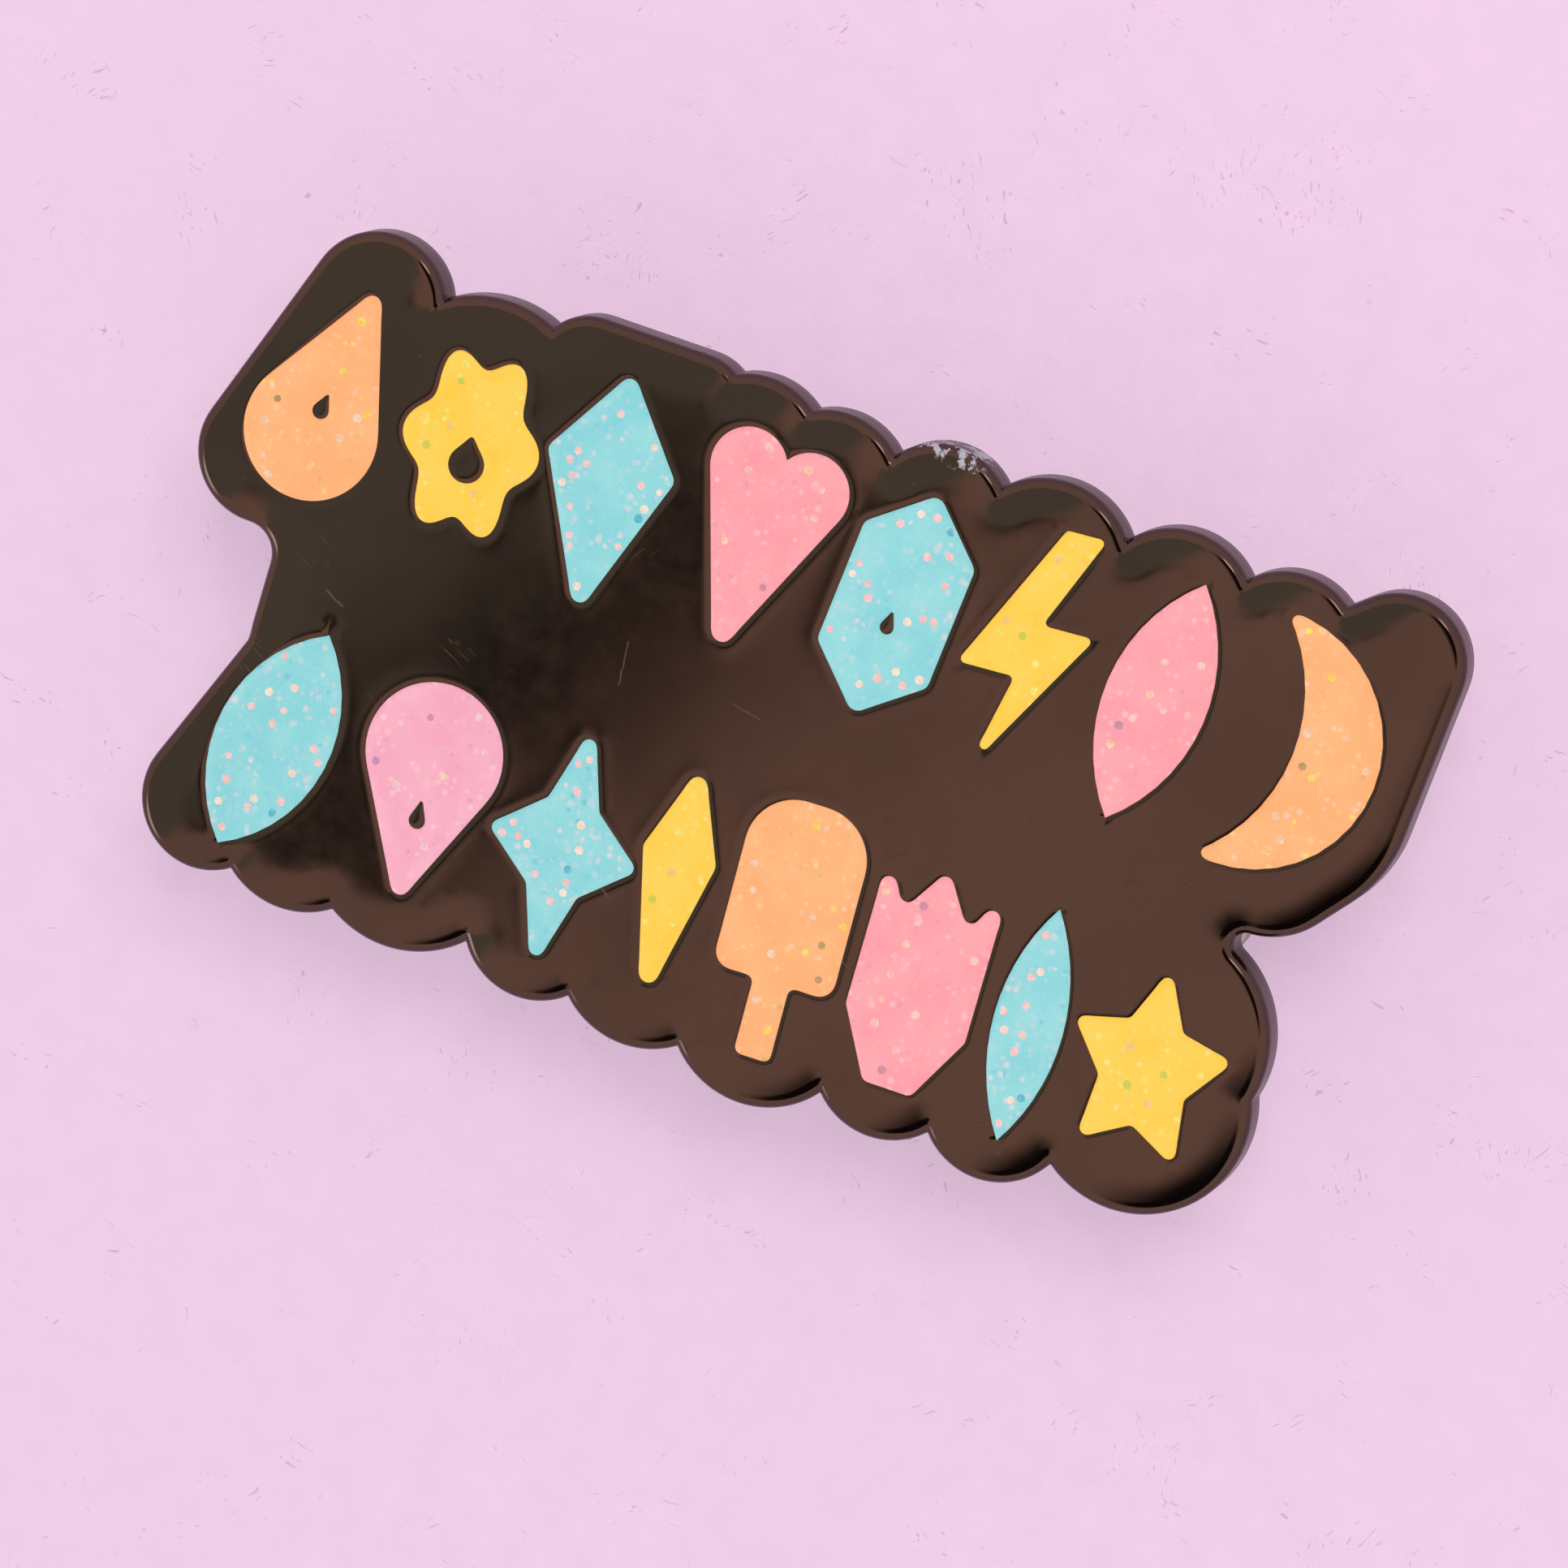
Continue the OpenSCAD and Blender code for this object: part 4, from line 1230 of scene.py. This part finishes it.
def enamel(name, body, light, flecks, seed):
    """Glossy enamel. flecks are [(colour, share of the spots, strength)] of the glitter inside it."""
    look = Look(name, roughness=0.28, coat_weight=1.0, coat_roughness=0.035, coat_ior=1.5, ior=1.45)
    shifted = look.op("ADD", look.mm, (seed * 3.7, seed * 1.9, 0.0))
    flat = look.op("MULTIPLY", shifted, (1.0, 1.0, 0.0))
    cloud = look.noise(1.6, 3.0, 0.55, flat)
    grain = look.noise(0.07, 2.0, 0.7, flat)
    shine = look.math("ADD", look.map(cloud, 0.3, 0.7, 0.15, 0.55), look.map(grain, 0.4, 0.7, 0.0, 0.35))
    colour = look.mix(shine, body, light)
    for size in (0.36, 0.27):
        gap, shade = look.spots(size, look.op("ADD", flat, (size * 40, 0.0, 0.0)))
        disc = look.map(gap, 0.17 * size / 0.36, 0.06 * size / 0.36)
        pick, swing = look.part(shade, 0), look.part(shade, 1)
        crowd = look.map(look.noise(1.3, 2.0, 0.5, flat), 0.38, 0.6, 0.25, 1.0)
        low = 0.0
        for tint, share, strength in flecks:
            here = look.math("MULTIPLY", look.math("GREATER_THAN", pick, low),
                             look.math("LESS_THAN", pick, low + share))
            share_seen = look.math("MULTIPLY", crowd, look.map(swing, 0.0, 1.0, 0.2 * strength, strength))
            amount = look.math("MULTIPLY", look.math("MULTIPLY", disc, here), share_seen)
            colour = look.mix(amount, colour, tint)
            low += share
    ripple = look.noise(0.9, 2.0, 0.5)
    dust = look.noise(0.05, 2.0, 0.6)
    relief = look.bump(ripple, 0.006)
    relief = look.bump(dust, 0.0008, relief)
    look.set(base_color=colour, normal=relief, coat_normal=look.bump(ripple, 0.004))
    return look.material


def flake(name, colour, deep):
    """Pearly glitter film whose tone shifts a little across the flake."""
    look = Look(name, metallic=0.25, roughness=0.3, coat_weight=1.0, coat_roughness=0.05)
    tone = look.noise(0.22, 2.0, 0.6)
    look.set(base_color=look.mix(look.map(tone, 0.35, 0.65), colour, deep),
             normal=look.bump(look.noise(0.06, 1.0), 0.0015))
    return look.material


def bright_metal(name, colour, worn, rough, streak, angle=0.0):
    """Plated or drawn metal with streaks of that width along that angle, blotches and small pits."""
    look = Look(name, metallic=1.0)
    tone = look.noise(1.8, 4.0, 0.6)
    lines = look.noise(streak, 2.0, 0.5, look.turned(angle, (streak / 4.0, 1, 1)))
    gap, shade = look.spots(0.8)
    pits = look.math("MULTIPLY", look.map(gap, 0.07, 0.02), look.map(look.part(shade, 0), 0.8, 0.83))
    colour_here = look.mix(look.map(tone, 0.4, 0.75), colour, worn)
    colour_here = look.mix(look.math("MULTIPLY", pits, 0.5), colour_here, (0.16, 0.14, 0.12))
    roughness = look.map(tone, 0.3, 0.8, rough, rough * 1.7)
    roughness = look.math("ADD", roughness, look.math("MULTIPLY", lines, 0.08))
    relief = look.bump(lines, 0.002)
    relief = look.bump(look.math("SUBTRACT", 1.0, pits), 0.006, relief)
    look.set(base_color=colour_here, roughness=roughness, normal=relief)
    return look.material


def soft_solder():
    look = Look("solder", metallic=1.0)
    tone = look.noise(0.7, 4.0, 0.6)
    frost = look.noise(0.12, 3.0, 0.7)
    colour = look.mix(look.map(tone, 0.35, 0.7), (0.50, 0.49, 0.47), (0.33, 0.31, 0.29))
    look.set(base_color=colour, roughness=look.map(frost, 0.3, 0.7, 0.24, 0.46),
             normal=look.bump(frost, 0.012, look.bump(tone, 0.05)))
    return look.material


def paper():
    look = Look("lilac_paper", roughness=0.86, specular_ior_level=0.25, emission_strength=PAINTED_PAPER_GLOW)
    mottled = look.noise(1.4, 5.0, 0.6)
    broad = look.noise(26.0, 2.0)
    colour = look.mix(look.map(mottled, 0.3, 0.7), PAPER, tuple(c * 0.965 for c in PAPER))
    colour = look.mix(look.map(broad, 0.3, 0.75, 0.0, 0.5), colour, tuple(c * 0.975 for c in PAPER))
    # Short curled fibres, a few of them darker
    bent = look.bent(2.2, 0.8)
    for angle, size in ((12, 2.6), (71, 3.3), (133, 2.9)):
        lines = look.noise(0.10, 0.0, 0.5, look.turned(angle, (0.16, 1, 1), bent))
        patch = look.noise(size, 1.0, 0.5, look.op("ADD", look.mm, (angle, 0.0, 0.0)))
        mask = look.math("MULTIPLY", look.map(lines, 0.735, 0.77), look.map(patch, 0.62, 0.70))
        colour = look.mix(look.math("MULTIPLY", mask, 0.4), colour, srgb(176, 120, 188))
    relief = look.bump(mottled, 0.05, look.bump(look.noise(0.25, 3.0, 0.6), 0.02))
    # The paper glows by itself: painted light that weakens the pin's shadow on the floor. Glossy rays see
    # less of that glow.
    dimmed = look.op("SCALE", colour, scale=1 - PAINTED_PAPER_GLOW)
    mirrored = look.add("LightPath").outputs["Is Glossy Ray"]
    weaker = look.math("MULTIPLY", mirrored, MIRRORED_GLOW_LOSS)
    painted_glow = look.mix(weaker, look.op("MULTIPLY", colour, PAINTED_PAPER_GLOW_TINT), (0.0, 0.0, 0.0))
    look.set(base_color=dimmed, emission_color=painted_glow, normal=relief)
    return look.material


# ---------- Floor, light and camera ----------

def make_floor(material):
    half, z = FLOOR_HALF_W * MM, FLOOR_Z * MM
    mesh = bpy.data.meshes.new("floor")
    corners = [(-half, -half), (half, -half), (half, half), (-half, half)]
    mesh.from_pydata([(x, y, z) for x, y in corners], [], [(0, 1, 2, 3)])
    floor = bpy.data.objects.new("floor", mesh)
    bpy.context.scene.collection.objects.link(floor)
    mesh.materials.append(material)


def direction(azimuth, elevation):
    a, e = math.radians(azimuth), math.radians(elevation)
    return Vector((math.cos(e) * math.cos(a), math.cos(e) * math.sin(a), math.sin(e)))


def make_key_light():
    """A round soft lamp. The plate doesn't mirror it: MIRRORED_SHAPES has its own lamps."""
    light = bpy.data.lights.new("key", "AREA")
    light.shape = "DISK"
    light.size = KEY_SIZE * MM
    light.energy = KEY_WATTS
    light.color = KEY_COLOUR
    lamp = bpy.data.objects.new("key", light)
    toward = direction(KEY_AZIMUTH, KEY_ELEVATION)
    lamp.location = toward * KEY_AWAY * MM
    lamp.visible_glossy = False
    lamp.rotation_euler = toward.to_track_quat("Z", "Y").to_euler()
    bpy.context.scene.collection.objects.link(lamp)


def make_world():
    """Diffuse light comes evenly from all sides. The polished metal mirrors something else: a warm
    ceiling with MIRRORED_SHAPES on it."""
    world = bpy.data.worlds.new("studio")
    bpy.context.scene.world = world
    world.use_nodes = True
    world.node_tree.nodes.clear()
    sky = Nodes(world.node_tree)
    x, y, z = sky.add("SeparateXYZ", {0: sky.add("TexCoord").outputs["Generated"]}).outputs

    def blob(middle, reach, lean, soft):
        """1 inside an oval of directions above the floor, falling to 0 outside it."""
        cos, sin = math.cos(math.radians(lean)), math.sin(math.radians(lean))
        dx = sky.math("SUBTRACT", x, middle[0])
        dy = sky.math("SUBTRACT", y, middle[1])
        across = sky.math("SUBTRACT", sky.math("MULTIPLY", dx, cos), sky.math("MULTIPLY", dy, sin))
        along = sky.math("ADD", sky.math("MULTIPLY", dx, sin), sky.math("MULTIPLY", dy, cos))
        across = sky.math("DIVIDE", across, reach[0])
        along = sky.math("DIVIDE", along, reach[1])
        square = sky.math("ADD", sky.math("MULTIPLY", across, across),
                          sky.math("MULTIPLY", along, along))
        far = sky.math("SQRT", square)
        return sky.math("MULTIPLY", sky.map(far, 1 + soft, 1 - soft), sky.map(z, 0.0, 0.1))

    colour = sky.mix(sky.map(z, 0.1, 0.8), HORIZON, CEILING)
    for middle, reach, lean, soft, tint in MIRRORED_SHAPES:
        colour = sky.mix(blob(middle, reach, lean, soft), colour, tint)
    mirrored = sky.add("Background", {"Color": colour})
    even = sky.add("Background", {"Color": FILL, "Strength": FILL_STRENGTH})
    ray = sky.add("LightPath")
    either = sky.add("MixShader", {0: ray.outputs["Is Glossy Ray"], 1: even.outputs[0],
                                   2: mirrored.outputs[0]})
    sky.add("OutputWorld", {"Surface": either.outputs[0]})


def make_camera():
    """The camera looks down on the plate from slightly above right, and is rolled."""
    lean, azimuth, roll = (math.radians(a) for a in (CAMERA_LEAN, CAMERA_AZIMUTH, CAMERA_ROLL))
    aside = math.sin(lean)
    back = Vector((aside * math.cos(azimuth), aside * math.sin(azimuth), math.cos(lean)))
    right = Vector((0, 1, 0)).cross(back).normalized()
    up = back.cross(right)
    rolled_right = math.cos(roll) * right + math.sin(roll) * up
    rolled_up = math.cos(roll) * up - math.sin(roll) * right
    target = Vector((0, 0, PLATE_T)) + rolled_right * AIM[0] + rolled_up * AIM[1]
    turn = Matrix((rolled_right, rolled_up, back)).transposed().to_4x4()
    data = bpy.data.cameras.new("camera")
    data.sensor_width = 36
    data.lens = 36 * CAMERA_AWAY / VIEW_W
    data.clip_start = 0.01
    camera = bpy.data.objects.new("camera", data)
    camera.matrix_world = Matrix.Translation((target + back * CAMERA_AWAY) * MM) @ turn
    bpy.context.scene.collection.objects.link(camera)
    bpy.context.scene.camera = camera


# ---------- The scene ----------

bpy.context.scene.view_settings.view_transform = "Standard"
make_camera()
cells = {}
for motif in MOTIFS:
    cells[motif] = [smooth_loop(loop, CELL_STEP, CELL_CORNER)[0]
                    for loop in flat_loops("enamel_" + motif, ENAMEL_TOP)]
make_plate(list(cells.values()), black_nickel())

enamels = {}
tints = {}
for number, (colour, (body, light)) in enumerate(BODIES.items()):
    flecks = [(srgb(*tint), share, strength) for tint, share, strength in FLECKS[colour]]
    enamels[colour] = enamel("enamel_" + colour, srgb(*body), srgb(*light), flecks, number)
    tints[colour] = [(flake(f"flake_{colour}_{i}", srgb(*tint), srgb(*deep)), density)
                     for i, (tint, deep, density) in enumerate(FLAKES[colour])]
for number, motif in enumerate(MOTIFS):
    colour = motif.split("_")[1]
    make_enamel(motif, cells[motif], enamels[colour], number)
    make_glitter(motif, cells[motif], tints[colour], number)

steel = bright_metal("post_steel", (0.62, 0.60, 0.57), (0.45, 0.43, 0.40), 0.16, 0.05, 90)
solder = soft_solder()
shell = bright_metal("clutch_shell", (0.75, 0.73, 0.69), (0.60, 0.57, 0.52), 0.13, 0.06)
wing_sheet = bright_metal("wing_sheet", (0.78, 0.75, 0.70), (0.62, 0.58, 0.52), 0.16, 0.05)
spring_wire = bright_metal("spring_wire", (0.60, 0.60, 0.60), (0.45, 0.44, 0.43), 0.2, 0.04)
for side in ("left", "right"):
    make_post(side, steel)
    make_solder(side, solder)
    make_disc(side, shell)
    make_dome(side, shell)
    make_spring(side, spring_wire)
    make_wing(side, "lower", wing_sheet)
    make_wing(side, "upper", wing_sheet)
make_floor(paper())
make_world()
make_key_light()
